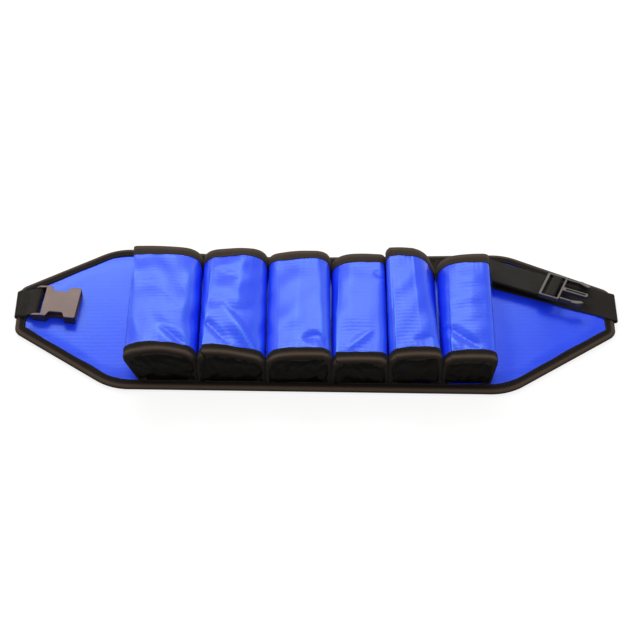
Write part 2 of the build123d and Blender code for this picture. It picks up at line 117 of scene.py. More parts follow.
def new_group(name, place, output, **numbers):
    """An empty node group. Its inputs are a place and numbers with defaults, its output is a number."""
    group = bpy.data.node_groups.new(name, "ShaderNodeTree")
    group.interface.new_socket(place, in_out="INPUT", socket_type="NodeSocketVector")
    for label, default in numbers.items():
        socket = group.interface.new_socket(label, in_out="INPUT", socket_type="NodeSocketFloat")
        socket.default_value = default
    group.interface.new_socket(output, in_out="OUTPUT", socket_type="NodeSocketFloat")
    return group, group.nodes.new("NodeGroupInput").outputs, group.nodes.new("NodeGroupOutput").inputs[0]


def use_group(tree, group, inputs):
    """Place a node group in a material with its own values; gives its one output."""
    return add_node(tree, "Group", inputs, node_tree=group).outputs[0]


def new_material(name, **constants):
    """A material with a Principled BSDF; the constants are set on the shader's own sockets."""
    material = bpy.data.materials.new(name)
    material.use_nodes = True
    shader = material.node_tree.nodes["Principled BSDF"]
    for socket, value in constants.items():
        shader.inputs[socket.replace("_", " ")].default_value = value
    return material, material.node_tree, shader


print("a mid grey of 128 is", round(srgb(128, 128, 128)[0], 3), "as linear light")


# %% [markdown]
# The floor has to look almost white and still keep the belt's soft shadow, and its own glow mustn't
# light the belt from below. So the floor and the sky ask what kind of ray has reached them: a ray
# that gathers soft light gets one grey, and the camera, a mirror or glass sees another.

# %% Floor, sky and lamp
def by_ray(tree, gathered, seen):
    """The grey gathered by rays of diffuse light, or the grey seen by camera, mirror and glass rays."""
    rays = add_node(tree, "LightPath").outputs
    direct = reckon(tree, "MAXIMUM", rays["Is Camera Ray"], rays["Is Glossy Ray"])
    direct = reckon(tree, "MAXIMUM", direct, rays["Is Transmission Ray"])
    return blend_colours(tree, direct, (*gathered, 1), (seen, seen, seen, 1))


sky = bpy.data.worlds.new("sky")
scene.world = sky
sky.use_nodes = True
tree = sky.node_tree
wire(tree, by_ray(tree, (0.69, 0.68, 0.67), 1), tree.nodes["Background"].inputs["Color"])

floor_material, tree, shader = new_material(
    "table_top", Roughness=0.9, Specular_IOR_Level=0.1, Emission_Strength=1.0)
wire(tree, by_ray(tree, (0.86, 0.86, 0.86), 0.3), shader.inputs["Base Color"])
wire(tree, by_ray(tree, (0, 0, 0), 0.79), shader.inputs["Emission Color"])
side, drop = 6, 0.0002
floor_mesh = bpy.data.meshes.new("table_top")
floor_mesh.from_pydata([(-side, -side, 0), (side, -side, 0), (side, side, 0), (-side, side, 0)],
                       [], [(0, 1, 2, 3)])
floor_mesh.materials.append(floor_material)
floor = bpy.data.objects.new("table_top", floor_mesh)
floor.location.z = -drop
scene.collection.objects.link(floor)

lamp_place, lamp_size, radiance = (-0.36, 1.15, 1.06), (1.5, 0.42), 5.3
lamp_data = bpy.data.lights.new("window", "AREA")
lamp_data.shape, lamp_data.size, lamp_data.size_y = "RECTANGLE", *lamp_size
lamp_data.energy = radiance * pi * lamp_size[0] * lamp_size[1]
lamp = bpy.data.objects.new("window", lamp_data)
lamp.location = lamp_place
lamp.rotation_euler = (-atan2(lamp_place[1], lamp_place[2]), 0, 0)
scene.collection.objects.link(lamp)
print("floor, sky and one lamp of", round(lamp_data.energy, 1), "W")


# %% [markdown]
# ## Shared finishes
# The cloths of the belt are all woven, and each weave shows at its own scale: fine ribs under the
# plastic skin of the blue tarpaulin, close ribs across the binding tape, and thick cords along the
# webbing. All three follow the cloth, so they are drawn on the flat cloth: each mesh carries a UV
# map named flat, in metres, that says where a point was before the cloth was shaped.

# %% Groups: ribs, webbing, blotches
def wave(tree, turns):
    """|sin(pi turns)|: a row of round ridges, one for each turn."""
    return reckon(tree, "ABSOLUTE", reckon(tree, "SINE", reckon(tree, "MULTIPLY", turns, pi)))


def rib_group():
    """Ribs: height = |sin(pi v / pitch)| ^ 0.7 along v, cut by finer threads along u, from 0 to 1."""
    group, given, result = new_group("ribs", "Flat", "Height", Pitch=0.002, Threads=0.001, Cut=0.3)
    place = add_node(group, "SeparateXYZ", {0: given["Flat"]}).outputs
    turns = reckon(group, "DIVIDE", place[1], given["Pitch"])
    rib = reckon(group, "POWER", wave(group, turns), 0.7)
    thread = reckon(group, "DIVIDE", place[0], given["Threads"])
    shift = reckon(group, "MULTIPLY", reckon(group, "FLOOR", turns), 0.5)
    thread = wave(group, reckon(group, "ADD", thread, shift))
    cut = reckon(group, "MULTIPLY", reckon(group, "SUBTRACT", 1.0, thread), given["Cut"])
    wire(group, reckon(group, "MULTIPLY", rib, reckon(group, "SUBTRACT", 1.0, cut)), result)
    return group


def webbing_group():
    """Webbing: cords |sin(pi u / cord)| ^ 0.5, crossed by slanting picks that make rows of chevrons."""
    group, given, result = new_group("webbing_weave", "Flat", "Height", Cord=0.0026, Pick=0.0016)
    place = add_node(group, "SeparateXYZ", {0: given["Flat"]}).outputs
    turns = reckon(group, "DIVIDE", place[0], given["Cord"])
    cord = reckon(group, "POWER", wave(group, turns), 0.5)
    slant = reckon(group, "PINGPONG", turns, 1.0)
    picks = reckon(group, "DIVIDE", place[1], given["Pick"])
    picks = reckon(group, "SINE", reckon(group, "MULTIPLY", reckon(group, "ADD", picks, slant), 2 * pi))
    picks = reckon(group, "MULTIPLY_ADD", picks, 0.28, 0.72)
    wire(group, reckon(group, "MULTIPLY", cord, picks), result)
    return group


def blotch_group():
    """Blotches: cloudy noise n of a given size, stretched to (n - 0.3) / 0.4 between 0 and 1."""
    group, given, result = new_group("blotches", "Place", "Share", Size=0.02, Detail=3.0)
    scale = reckon(group, "DIVIDE", 1.0, given["Size"])
    noise = add_node(group, "TexNoise", {"Vector": given["Place"], "Scale": scale, "Detail": given["Detail"]})
    spread = add_node(group, "MapRange", {0: noise.outputs["Fac"], 1: 0.3, 2: 0.7})
    wire(group, spread.outputs[0], result)
    return group


ribs, webbing_weave, blotches = rib_group(), webbing_group(), blotch_group()
print("groups", [group.name for group in (ribs, webbing_weave, blotches)])


# %% Where patterns lie, and how they reach the shader
def whole_place(tree):
    """Where a point is on the belt, in metres."""
    return add_node(tree, "TexCoord").outputs["Object"]


def weave_height(tree, group, **values):
    """The height of a weave, drawn on the flat cloth."""
    return use_group(tree, group, {"Flat": add_node(tree, "UVMap", uv_map="flat").outputs["UV"], **values})


def clouds(tree, size, detail=3.0):
    """Cloudy patches of a size in metres, from 0 to 1."""
    return use_group(tree, blotches, {"Place": whole_place(tree), "Size": size, "Detail": detail})


def paint_sheen(tree, colour, most, sheen_colour):
    """A colour, blended by up to a share towards a paler one, a painted sheen, where the mesh's attribute of
    painted sheen is high.
    """
    sheen_share = add_node(tree, "Attribute", attribute_name="sheen_share").outputs["Fac"]
    return blend_colours(tree, reckon(tree, "MULTIPLY", sheen_share, most), colour, sheen_colour)


def finish(material, colour, varied, rough, height, metres):
    """Feed the shader a colour, the roughness a + b x varied for rough = (a, b), and a relief."""
    tree = material.node_tree
    shader = tree.nodes["Principled BSDF"]
    wire(tree, colour, shader.inputs["Base Color"])
    wire(tree, reckon(tree, "MULTIPLY_ADD", varied, rough[1], rough[0]), shader.inputs["Roughness"])
    bump = add_node(tree, "Bump", {"Height": height, "Distance": metres, "Strength": 1.0})
    wire(tree, bump.outputs["Normal"], shader.inputs["Normal"])
    return material


print("the ribs take", [item.name for item in ribs.interface.items_tree if item.in_out == "INPUT"])


# %% [markdown]
# ## The materials
# The pockets and the panel are tarpaulin: a woven scrim under a glossy blue skin of plastic. A
# sharp fold or a proud edge catches the lamp's light, and this sheen is painted into the colour: the
# mesh carries an attribute that is high there, and the colour turns paler by it. The tape, the
# webbing and the lining are plain weaves, dark between their threads and paler on them. The gusset
# is a thin black coated cloth that crumples. Both halves of the buckle are moulded plastic, dark
# grey, with a painted highlight on the faces that look up: the socket warm and silky, the plug
# cooler and a little rougher.

# %% Materials
def make_tarpaulin(name, ribbing):
    """Blue plastic skin over a scrim: ribs in the relief (metres), and a paler painted cyan sheen on its
    proud ridges.
    """
    material, tree, _ = new_material(name, Specular_IOR_Level=0.6, Specular_Tint=(0.5, 0.9, 1.0, 1.0))
    cloud = clouds(tree, 0.035)
    colour = blend_colours(tree, cloud, srgb(26, 58, 248), srgb(34, 66, 255))
    # painted sheen: a paler cyan where the mesh stands proud and would catch the lamp
    colour = paint_sheen(tree, colour, 0.55, srgb(84, 140, 255))
    weave = weave_height(tree, ribs, Pitch=0.0056, Threads=0.0028, Cut=0.12)
    height = reckon(tree, "MULTIPLY_ADD", clouds(tree, 0.004), 0.5, weave)
    return finish(material, colour, cloud, (0.28, 0.03), height, ribbing)


def make_woven(name, group, weave, threads, cloud, rough, metres, painted_sheen=None, **constants):
    """A woven cloth with a relief of so many metres, and its colour in layers.

    threads are the colours between and on the threads, cloud is (size, share, colour) of the
    patches over them, and rubbed is the colour of a painted sheen where the light catches the tops
    and folds."""
    material, tree, _ = new_material(name, **constants)
    size, share, tone = cloud
    patches = clouds(tree, size)
    height = weave_height(tree, group, **weave)
    colour = blend_colours(tree, height, *threads)
    colour = blend_colours(tree, reckon(tree, "MULTIPLY", patches, share), colour, tone)
    if painted_sheen:
        colour = paint_sheen(tree, colour, 0.5, painted_sheen)
    return finish(material, colour, patches, rough, height, metres)


def make_gusset_cloth():
    """Black coated nylon, crumpled: the larger creases are in the mesh, the finest in the relief."""
    material, tree, _ = new_material("gusset_cloth", Specular_IOR_Level=0.05)
    cloud = clouds(tree, 0.018)
    cells = add_node(tree, "TexVoronoi", {"Vector": whole_place(tree), "Scale": 130.0}).outputs["Distance"]
    fine = weave_height(tree, ribs, Pitch=0.0006, Threads=0.0006, Cut=0.6)
    height = reckon(tree, "MULTIPLY_ADD", fine, 0.06, cells)
    colour = blend_colours(tree, cloud, srgb(3, 2, 1), srgb(9, 7, 5))
    return finish(material, colour, cloud, (0.34, 0.2), height, 0.0005)


def make_foam():
    """Grey closed-cell foam, with fine pits."""
    material, tree, _ = new_material("foam", Specular_IOR_Level=0.3)
    pits = add_node(tree, "TexVoronoi", {"Vector": whole_place(tree), "Scale": 900.0}).outputs["Distance"]
    colour = blend_colours(tree, pits, srgb(52, 53, 56), srgb(78, 79, 82))
    return finish(material, colour, pits, (0.8, 0.1), pits, 0.0002)


def make_plastic(name, dark, dull, painted_highlight, least_rough, grain_metres, **constants):
    """Moulded plastic with a fine spark grain. The faces that look up get a paler painted highlight, where
    the lamp above shines off them.

    The highlight's share is (n - 0.75) / 0.2 between 0 and 1, where n is the upward part of the normal."""
    material, tree, _ = new_material(name, **constants)
    cloud = clouds(tree, 0.011)
    normal = add_node(tree, "SeparateXYZ", {0: add_node(tree, "TexCoord").outputs["Normal"]})
    lit_top = add_node(tree, "MapRange", {0: normal.outputs[2], 1: 0.75, 2: 0.95}).outputs[0]
    lit_top = reckon(tree, "MULTIPLY", lit_top, reckon(tree, "MULTIPLY_ADD", cloud, 0.25, 0.75))
    colour = blend_colours(tree, lit_top, blend_colours(tree, cloud, dark, dull), painted_highlight)
    return finish(material, colour, cloud, (least_rough, 0.1), clouds(tree, 0.0007, 2.0), grain_metres)


def make_thread(name, dark, light):
    """Twisted sewing thread: two plies that turn round it."""
    material, tree, _ = new_material(name, Specular_IOR_Level=0.3, Sheen_Weight=0.1)
    twist = add_node(tree, "TexWave", {"Vector": whole_place(tree), "Scale": 400.0, "Distortion": 1.5})
    twist = twist.outputs["Fac"]
    return finish(material, blend_colours(tree, twist, dark, light), twist, (0.5, 0.1), twist, 0.0001)


panel_tarpaulin = make_tarpaulin("panel_tarpaulin", 0.00003)
pocket_tarpaulin = make_tarpaulin("pocket_tarpaulin", 0.00007)
gusset_cloth, foam = make_gusset_cloth(), make_foam()
# the tape's last colour is a painted sheen for its lit tops and folds
tape_cloth = make_woven(
    "binding_tape", ribs, dict(Pitch=0.0011, Threads=0.0009, Cut=0.5), (srgb(8, 5, 3), srgb(26, 20, 15)),
    (0.012, 0.3, srgb(22, 17, 13)), (0.6, 0.15), 0.00016, painted_sheen=srgb(116, 99, 84),
    Specular_IOR_Level=0.07, Sheen_Weight=0.05, Sheen_Roughness=0.5)
lining_cloth = make_woven(
    "back_lining_cloth", ribs, dict(Pitch=0.0018, Threads=0.0018, Cut=0.8),
    (srgb(12, 13, 17), srgb(34, 36, 44)), (0.03, 0.25, srgb(40, 41, 48)), (0.75, 0.1), 0.0003,
    Specular_IOR_Level=0.2, Sheen_Weight=0.1)
webbing = make_woven(
    "webbing", webbing_weave, dict(Cord=0.0026, Pick=0.0021), (srgb(8, 6, 4), srgb(36, 30, 23)),
    (0.02, 0.25, srgb(25, 21, 16)), (0.55, 0.12), 0.0003,
    Specular_IOR_Level=0.13, Sheen_Weight=0.08, Sheen_Roughness=0.4)
# the third colour of each plastic is a painted highlight on the faces that look up to the lamp
socket_plastic = make_plastic(
    "socket_plastic", srgb(10, 8, 9), srgb(20, 15, 14), srgb(92, 70, 63), 0.34, 0.00003,
    Specular_IOR_Level=0.8, Specular_Tint=(1.0, 0.84, 0.78, 1.0))
plug_plastic = make_plastic(
    "plug_plastic", srgb(12, 11, 11), srgb(22, 20, 19), srgb(108, 99, 93), 0.4, 0.00002,
    Specular_IOR_Level=0.6)
dark_thread = make_thread("dark_thread", srgb(24, 21, 20), srgb(58, 52, 48))
print(len(bpy.data.materials), "materials")


# %% [markdown]
# ## From numbers to cloth
# Nearly every soft part here is a band of cross-sections: the section's points run once round the
# cloth's thickness, and the band carries the section along a path. One function turns such a grid
# of points into a closed skin. It works in millimetres, as a maker does, and writes metres.

# %% Mesh helpers
MM = 0.001
upwards = np.array([0, 0, 1.0])


def spread(*parts):
    """Values along rows, along columns or over both, made one grid of points."""
    return np.stack(np.broadcast_arrays(*parts), -1)


def cells(place):
    """The four corners of each cell of a grid of point numbers, whose rows close on themselves."""
    place = np.hstack([place, place[:, :1]])
    return np.stack([place[:-1, :-1], place[:-1, 1:], place[1:, 1:], place[1:, :-1]], -1).reshape(-1, 4)


def smooth_piece(name, mesh, material):
    """An object at the origin with one material and smooth shading."""
    mesh.polygons.foreach_set("use_smooth", np.ones(len(mesh.polygons), bool))
    mesh.materials.append(material)
    piece = bpy.data.objects.new(name, mesh)
    scene.collection.objects.link(piece)
    return piece


def skin(name, outer, inner, flat, material, closed=False, sheen_share=None, sharp=38):
    """Close the outer and inner face of a cloth, both grids with one row a section, into a solid.

    A section runs along the outer face and back along the inner one, so its point k faces its point
    (last - k), and the two ends are closed by quads between such pairs. flat is each outer point's
    place on the flat cloth, and worn the share of painted sheen at each point. The faces are turned
    outwards: the volume, the sum of the corner products a . (b x c) / 6, is made positive."""
    ring = np.concatenate([outer, inner[:, ::-1]], axis=1)
    flat = np.concatenate([flat, flat[:, ::-1]], axis=1)
    rows, around = ring.shape[:2]
    laps = rows + int(closed)
    quads = cells(np.arange(laps * around).reshape(laps, around))
    if not closed:
        near = np.arange(around // 2 - 1)
        lid = np.stack([near, near + 1, around - 2 - near, around - 1 - near], -1)
        quads = np.vstack([quads, lid[:, ::-1], lid + (rows - 1) * around])
    points = ring.reshape(-1, 3)
    a, b, c, d = (points[quads[:, k] % len(points)] for k in range(4))
    if np.sum(a * np.cross(b, c)) + np.sum(a * np.cross(c, d)) < 0:
        quads = quads[:, ::-1]
    mesh = bpy.data.meshes.new(name)
    mesh.vertices.add(len(points))
    mesh.vertices.foreach_set("co", (points * MM).astype(np.float32).ravel())
    mesh.loops.add(quads.size)
    mesh.loops.foreach_set("vertex_index", (quads % len(points)).astype(np.int32).ravel())
    mesh.polygons.add(len(quads))
    mesh.polygons.foreach_set("loop_start", np.arange(0, quads.size, 4, dtype=np.int32))
    mesh.update(calc_edges=True)
    layer = mesh.uv_layers.new(name="flat")
    layer.data.foreach_set("uv", (flat.reshape(-1, 2)[quads.ravel()] * MM).astype(np.float32).ravel())
    if sheen_share is not None:
        sheen_share = np.concatenate([sheen_share, sheen_share[:, ::-1]], axis=1).astype(np.float32)
        mesh.attributes.new("sheen_share", "FLOAT", "POINT").data.foreach_set("value", sheen_share.ravel())
    piece = smooth_piece(name, mesh, material)
    mesh.set_sharp_from_angle(angle=radians(sharp))
    return piece


def settle(piece, slot, body, *stands_for):
    """Hide the CAD nodes that a piece stands for, and attach it to the body it rides on, if it is only one.
    slot is not used.
    """
    if stands_for:
        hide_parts(*stands_for)
    if body:
        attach(piece, body)


def clamp(values):
    """Values held between 0 and 1."""
    return np.clip(values, 0, 1)


def unit(vectors):
    """Vectors scaled to length 1."""
    return vectors / np.maximum(np.linalg.norm(vectors, axis=-1, keepdims=True), 1e-9)


def normals_of(grid):
    """Unit normals of a grid of points: the cross product of its two directions at each point."""
    return unit(np.cross(np.gradient(grid, axis=1), np.gradient(grid, axis=0)))


def run_along(line):
    """The length along a line of points, from 0 at its start."""
    return np.concatenate([[0.0], np.cumsum(np.linalg.norm(np.diff(line, axis=0), axis=-1))])


def rounded(corners, cuts, counts):
    """A polygon's line with rounded corners.

    Within its cut of corner C the line follows the parabola (1-t)^2 A + 2t(1-t) C + t^2 B between
    the points A and B where the cut starts and ends. Each leg gets its own count of points, so two
    such lines with the same counts match corner for corner."""
    corners = np.array(corners, float)
    leg = np.repeat(np.arange(len(counts)), counts)
    share = np.concatenate([np.arange(count) / count for count in counts])
    leg, share = np.append(leg, len(counts) - 1), np.append(share, 1.0)
    step = np.diff(corners, axis=0)
    length = np.linalg.norm(step, axis=1)
    way = step / length[:, None]
    points = corners[leg] + share[:, None] * step[leg]
    to_go, gone = (1 - share) * length[leg], share * length[leg]
    for corner, cut in enumerate(cuts, start=1):
        before, after = (leg == corner - 1) & (to_go < cut), (leg == corner) & (gone < cut)
        t = np.where(before, 0.5 - 0.5 * to_go / cut, 0.5 + 0.5 * gone / cut)[:, None]
        start, end = corners[corner] - cut * way[corner - 1], corners[corner] + cut * way[corner]
        curve = (1 - t) ** 2 * start + 2 * t * (1 - t) * corners[corner] + t ** 2 * end
        points = np.where((before | after)[:, None], curve, points)
    return points


def inset_corners(corners, inset, ends):
    """Corners of the line that runs inset to the left of each leg of an open polygon.

    A middle corner moves by inset (n1 + n2) / (1 + n1 . n2), where n1 and n2 are the legs' unit
    normals. The two ends move along the direction ends, until they are inset from their leg."""
    corners = np.array(corners, float)
    way = unit(np.diff(corners, axis=0))
    left = np.stack([-way[:, 1], way[:, 0]], 1)
    middle = (left[:-1] + left[1:]) / (1 + np.sum(left[:-1] * left[1:], axis=1))[:, None]
    ends = np.array(ends, float)
    first, last = ends / (left[0] @ ends), ends / (left[-1] @ ends)
    return corners + inset * np.vstack([first, middle, last])


bend = rounded([(0, 0), (10, 0), (10, 10)], [4], [20, 20])
print("a square corner with legs of 10 mm, cut by 4 mm, is", round(run_along(bend)[-1], 1), "mm long")


# %% [markdown]
# Every seam of the belt is sewn with a thick dark thread. A texture could paint the stitches, but a
# real stitch stands up from the cloth, dives back into it and throws a small shadow. So each one is
# a bead of only a few faces, and one mesh holds all the beads of a piece.

# %% Thread
def stitch_row(line, up, pitch=3.4, gap=0.9):
    """Places, directions, ups and half lengths of stitches, one every pitch along a line of points."""
    run = run_along(line)
    count = max(int(run[-1] // pitch), 1)
    spots = (np.arange(count) + 0.5) * run[-1] / count
    pick = lambda values: np.stack([np.interp(spots, run, values[:, k]) for k in range(3)], 1)
    way = unit(np.gradient(line, axis=0))
    half = np.full(count, (pitch - gap) / 2)
    return pick(line), unit(pick(way)), unit(pick(np.broadcast_to(up, line.shape))), half


def sew(name, rows, radius=0.3, sides=6):
    """All the stitches of one piece in one mesh: six-sided beads that dive at both ends.

    A stitch's ring at the share s of its half length has the radius r (1 - 0.55 s^4) and the height
    r (0.35 - 1.1 s^4) over the seam, so the thread arches out of the cloth and back into it."""
    centre, way, up, half = (np.concatenate(part) for part in zip(*rows))
    side = unit(np.cross(up, way))
    up = np.cross(way, side)
    rings = [-1.0, -0.65, 0.65, 1.0]
    s = np.repeat(rings, sides)
    turn = np.tile(np.arange(sides) * pi / 3 + pi / 6, len(rings))
    thin, sink = radius * (1 - 0.55 * s ** 4), radius * (0.35 - 1.1 * s ** 4)
    sideways, height = thin * np.cos(turn), thin * np.sin(turn) + sink
    points = (centre[:, None] + way[:, None] * (half[:, None] * s)[..., None]
              + side[:, None] * sideways[:, None] + up[:, None] * height[:, None])
    lid = np.array([[0, 1, 4, 5], [1, 2, 3, 4]])
    quads = np.vstack([cells(np.arange(len(s)).reshape(-1, sides)), lid[:, ::-1], lid + len(s) - sides])
    quads = (np.arange(len(centre))[:, None, None] * len(s) + quads).reshape(-1, 4)
    mesh = bpy.data.meshes.new(name)
    mesh.from_pydata((points.reshape(-1, 3) * MM).tolist(), [], quads.tolist())
    return smooth_piece(name, mesh, dark_thread)


bead_faces = 22  # three bands of six faces, and two lids of two
sample = stitch_row(np.array([(0, 0, 0), (100.0, 0, 0)]), upwards)
print("a seam of 100 mm holds", len(sample[0]), "stitches")


# %% [markdown]
# ## The panel
# The panel is a lining, a sheet of foam and a blue face, bound together at the edge with folded
# tape. Its outline is a long hexagon with rounded corners. The tape pinches the edge thinner than
# the middle, so the face swells a little just inside it. The face starts a millimetre low and the
# cloth solver blows it up against the foam, which gives the soft unevenness of a real padded face.

# %% Outline
end_x, wing_x, panel_top = 357, 212, 6.4
outline_corners = np.array([(-359, 15.5), (-359, -20), (-239, -104.5), (224, -112.9), (357, -24.5),
                            (357, 43.5), (231, 103.5), (-50, 99), (-244, 114.2), (-359, 48.5),
                            (-359, 15.5)], float)
outline_radii, point_step = np.array([16, 70, 70, 16, 16, 70, 1200, 70, 16]), 2.6
legs = np.diff(outline_corners, axis=0)
way = unit(legs)
turn = np.arccos(np.clip(np.sum(way[:-1] * way[1:], axis=1), -1, 1))
# a circle of radius r touches both legs of a corner at r tan(turn / 2) from it
outline = rounded(outline_corners, outline_radii * np.tan(turn / 2),
                  np.ceil(np.linalg.norm(legs, axis=1) / point_step).astype(int))[:-1]
ahead = np.roll(outline, -1, axis=0) - np.roll(outline, 1, axis=0)
inward = unit(np.stack([-ahead[:, 1], ahead[:, 0]], 1))
edge_run = run_along(np.vstack([outline, outline[:1]]))
print("outline", len(outline), "points,", round(edge_run[-1]), "mm round")

# %% Edge tape
wander = 0.35 * np.sin(edge_run[:-1] / 19) + 0.25 * np.sin(edge_run[:-1] / 7.3 + 1)
outer_profile = np.array([(12.2, 6.35), (11.9, 6.62), (9, 6.62), (6, 6.4), (3.5, 6.1), (1.6, 5.5),
                          (0.45, 4.5), (0, 3.3), (0.45, 2.1), (1.6, 1.05), (3.5, 0.4), (6, 0.1),
                          (9, 0.0), (11.9, 0.0), (12.2, 0.2)])
inner_profile = np.array([(12.2, 5.9), (11.9, 5.75), (9, 5.75), (6, 5.6), (3.7, 5.3), (2.0, 4.8),
                          (1.2, 4.1), (0.8, 3.3), (1.2, 2.5), (2.0, 1.75), (3.7, 1.15), (6, 0.9),
                          (9, 0.8), (11.9, 0.8), (12.2, 0.5)])


def round_the_edge(profile):
    """Carry a profile of (distance in from the edge, height) round the outline.

    The tape's free leg wanders sideways, and ripples by 0.1 sin(run / 1.7) mm on top."""
    inset, height = profile.T
    depth = inset + wander[:, None] * clamp((inset - 6) / 6)
    plan = outline[:, None] + inward[:, None] * depth[..., None]
    ripple = 0.1 * np.sin(edge_run[:-1, None] / 1.7) * clamp((inset - 8) / 4) * (height > 3)
    return np.concatenate([plan, (height + ripple)[..., None]], axis=-1)


tape_face = round_the_edge(outer_profile)
across_tape = run_along(outer_profile)
# painted highlight: a paler band along the tape's rounded upper shoulder, where the lamp's light falls
sheen_share = np.exp(-((across_tape - across_tape.max() * 0.36) / 2.2) ** 2)
edge_tape = skin("edge_tape", tape_face, round_the_edge(inner_profile),
                 spread(across_tape[None, :], edge_run[:, None]), tape_cloth, closed=True,
                 sheen_share=np.broadcast_to(sheen_share, tape_face.shape[:2]))
settle(edge_tape, "binding", "panel", "edge_binding")
print("edge tape", len(edge_tape.data.polygons), "faces")


# %% The cloth solver
def swollen(grid, pinned, pressure, ceiling, frames=20):
    """Blow a sheet up with Blender's cloth solver, and stop each point below a ceiling height.

    The pinned points stay. With gravity off, the pressure pushes the rest along the sheet's
    normals until the threads of the cloth hold it. The ceiling c is soft: a height z becomes
    c - log(1 + e^(5 (c - z))) / 5."""
    rows, columns = grid.shape[:2]
    place = np.arange(rows * columns).reshape(rows, columns)
    quads = np.stack([place[:-1, :-1], place[1:, :-1], place[1:, 1:], place[:-1, 1:]], -1).reshape(-1, 4)
    mesh = bpy.data.meshes.new("sheet_to_swell")
    mesh.from_pydata((grid.reshape(-1, 3) * MM).tolist(), [], quads.tolist())
    sheet = bpy.data.objects.new("sheet_to_swell", mesh)
    scene.collection.objects.link(sheet)
    pins = sheet.vertex_groups.new(name="pins")
    pins.add(place[pinned].tolist(), 1.0, "REPLACE")
    cloth = sheet.modifiers.new("cloth", "CLOTH")
    setting = cloth.settings
    setting.quality, setting.mass, setting.vertex_group_mass = 6, 0.25, "pins"
    setting.tension_stiffness = setting.compression_stiffness = 12
    setting.shear_stiffness, setting.bending_stiffness = 6, 0.4
    setting.use_pressure, setting.uniform_pressure_force = True, pressure
    setting.shrink_min = -0.012
    setting.effector_weights.gravity = 0
    cloth.collision_settings.use_collision = False
    cloth.point_cache.frame_start, cloth.point_cache.frame_end = 1, frames
    for frame_number in range(1, frames + 1):
        scene.frame_set(frame_number)
    shape = sheet.evaluated_get(bpy.context.evaluated_depsgraph_get()).data
    points = np.zeros(len(shape.vertices) * 3, np.float32)
    shape.vertices.foreach_get("co", points)
    points = points.reshape(grid.shape) / MM
    scene.frame_set(1)
    bpy.data.objects.remove(sheet)
    points = grid + np.clip(points - grid, -2.5, 2.5)
    points[..., 2] = ceiling - np.logaddexp(0, (ceiling - points[..., 2]) * 5) / 5
    return points


print("the cloth solver is", "used on the face")


# %% Covers and foam
cover_inset, foam_inset, end_y = 8.5, 11.5, 9.5


def half_edges(inset):
    """The lower and the upper edge of the panel inset by so many mm, as heights y over x."""
    line = outline + inward * inset
    turn = int(np.argmin(np.hypot(line[:, 0] - (end_x - inset), line[:, 1] - end_y)))
    low, high = line[:turn + 1], line[turn:][::-1]
    return (lambda x: np.interp(x, low[:, 0], low[:, 1])), (lambda x: np.interp(x, high[:, 0], high[:, 1]))


def field_grid(inset, rows, columns, height):
    """A grid over the panel inside an inset: x runs along it, and y from its lower to its upper edge."""
    low, high = half_edges(inset)
    x = np.linspace(-end_x + inset + 0.02, end_x - inset - 0.02, rows)[:, None]
    share = np.linspace(0, 1, columns)[None, :]
    return spread(x, low(x) + (high(x) - low(x)) * share, height)


def distance_in(grid, inset, slant=1.0):
    """How far points lie inside the inset outline: the least of the distances to its two ends and,
    times slant, the cosine of its sloping sides, to its lower and upper edges."""
    x, y = grid[..., 0], grid[..., 1]
    low, high = half_edges(inset)
    reach = end_x - inset
    return np.minimum.reduce([x + reach, reach - x, (y - low(x)) * slant, (high(x) - y) * slant])


face = field_grid(cover_inset, 150, 50, 5.3)
to_edge = distance_in(face, 0, 0.82)
out_from_middle = np.abs(face[..., 0])
pocket_feet = (out_from_middle < wing_x) & (out_from_middle % 17 < 4)
face = swollen(face, (to_edge < 11.5) | pocket_feet, 3.0, 6.42)
face_x, face_y = face[..., 0], face[..., 1]
# inside the tape the face rises by 0.8 mm along the smooth step 3 s^2 - 2 s^3 and waves a little,
# most of all on the wings, where no pocket holds it; puff is 0.4 of what the solver blew up
rise = clamp((to_edge - 9) / 16)
soft = 0.12 * np.sin(face_x / 15 + 0.4 * np.sin(face_y / 30)) * rise
on_wing = clamp((np.abs(face_x) - wing_x) / 20) * rise
droop = 0.5 * clamp(-face_y / 90) ** 2
soft += on_wing * (0.4 * np.sin(face_x / 13 + 0.9 * np.sin(face_y / 34)) - droop)
puff = np.clip(face[..., 2] - 6.0, -0.3, 0.3) * 0.4
face[..., 2] = 5.5 + 0.8 * rise * rise * (3 - 2 * rise) + soft + puff
print("face from", round(float(face[..., 2].min()), 2), "to", round(float(face[..., 2].max()), 2), "mm")

front_cover = skin("front_cover", face, face - 1.2 * upwards, face[..., :2], panel_tarpaulin)
settle(front_cover, "tarpaulin", "panel", "front_panel")

back = field_grid(cover_inset, 150, 60, 0.15)
channel = np.abs((back[..., 0] + 24) % 48 - 24)
back[..., 2] += 0.75 * np.exp(-(channel / 1.6) ** 2)
back_cover = skin("back_cover", back, back + upwards, back[..., :2], lining_cloth)
settle(back_cover, "lining", "panel", "back_lining")

core = field_grid(foam_inset, 90, 30, 0.0)
crown = 0.5 * np.sqrt(clamp(distance_in(core, 11) / 8))
top_of_foam, foot_of_foam = core.copy(), core.copy()
top_of_foam[..., 2], foot_of_foam[..., 2] = 3.5 + crown, 2.3 - crown
foam_pad = skin("foam_pad", top_of_foam, foot_of_foam, core[..., :2], foam)
settle(foam_pad, "foam", "panel", "foam_core")
print("covers", len(front_cover.data.polygons), len(back_cover.data.polygons), "faces")

# %% [markdown]
# A strip of the binding tape's cloth lies on the face behind the pocket mouths, from the edge tape
# to just below the rims. It is a dark sheet that stands for the shade between the mouths: it
# shows as a dark wedge of painted shade between each two mouths.

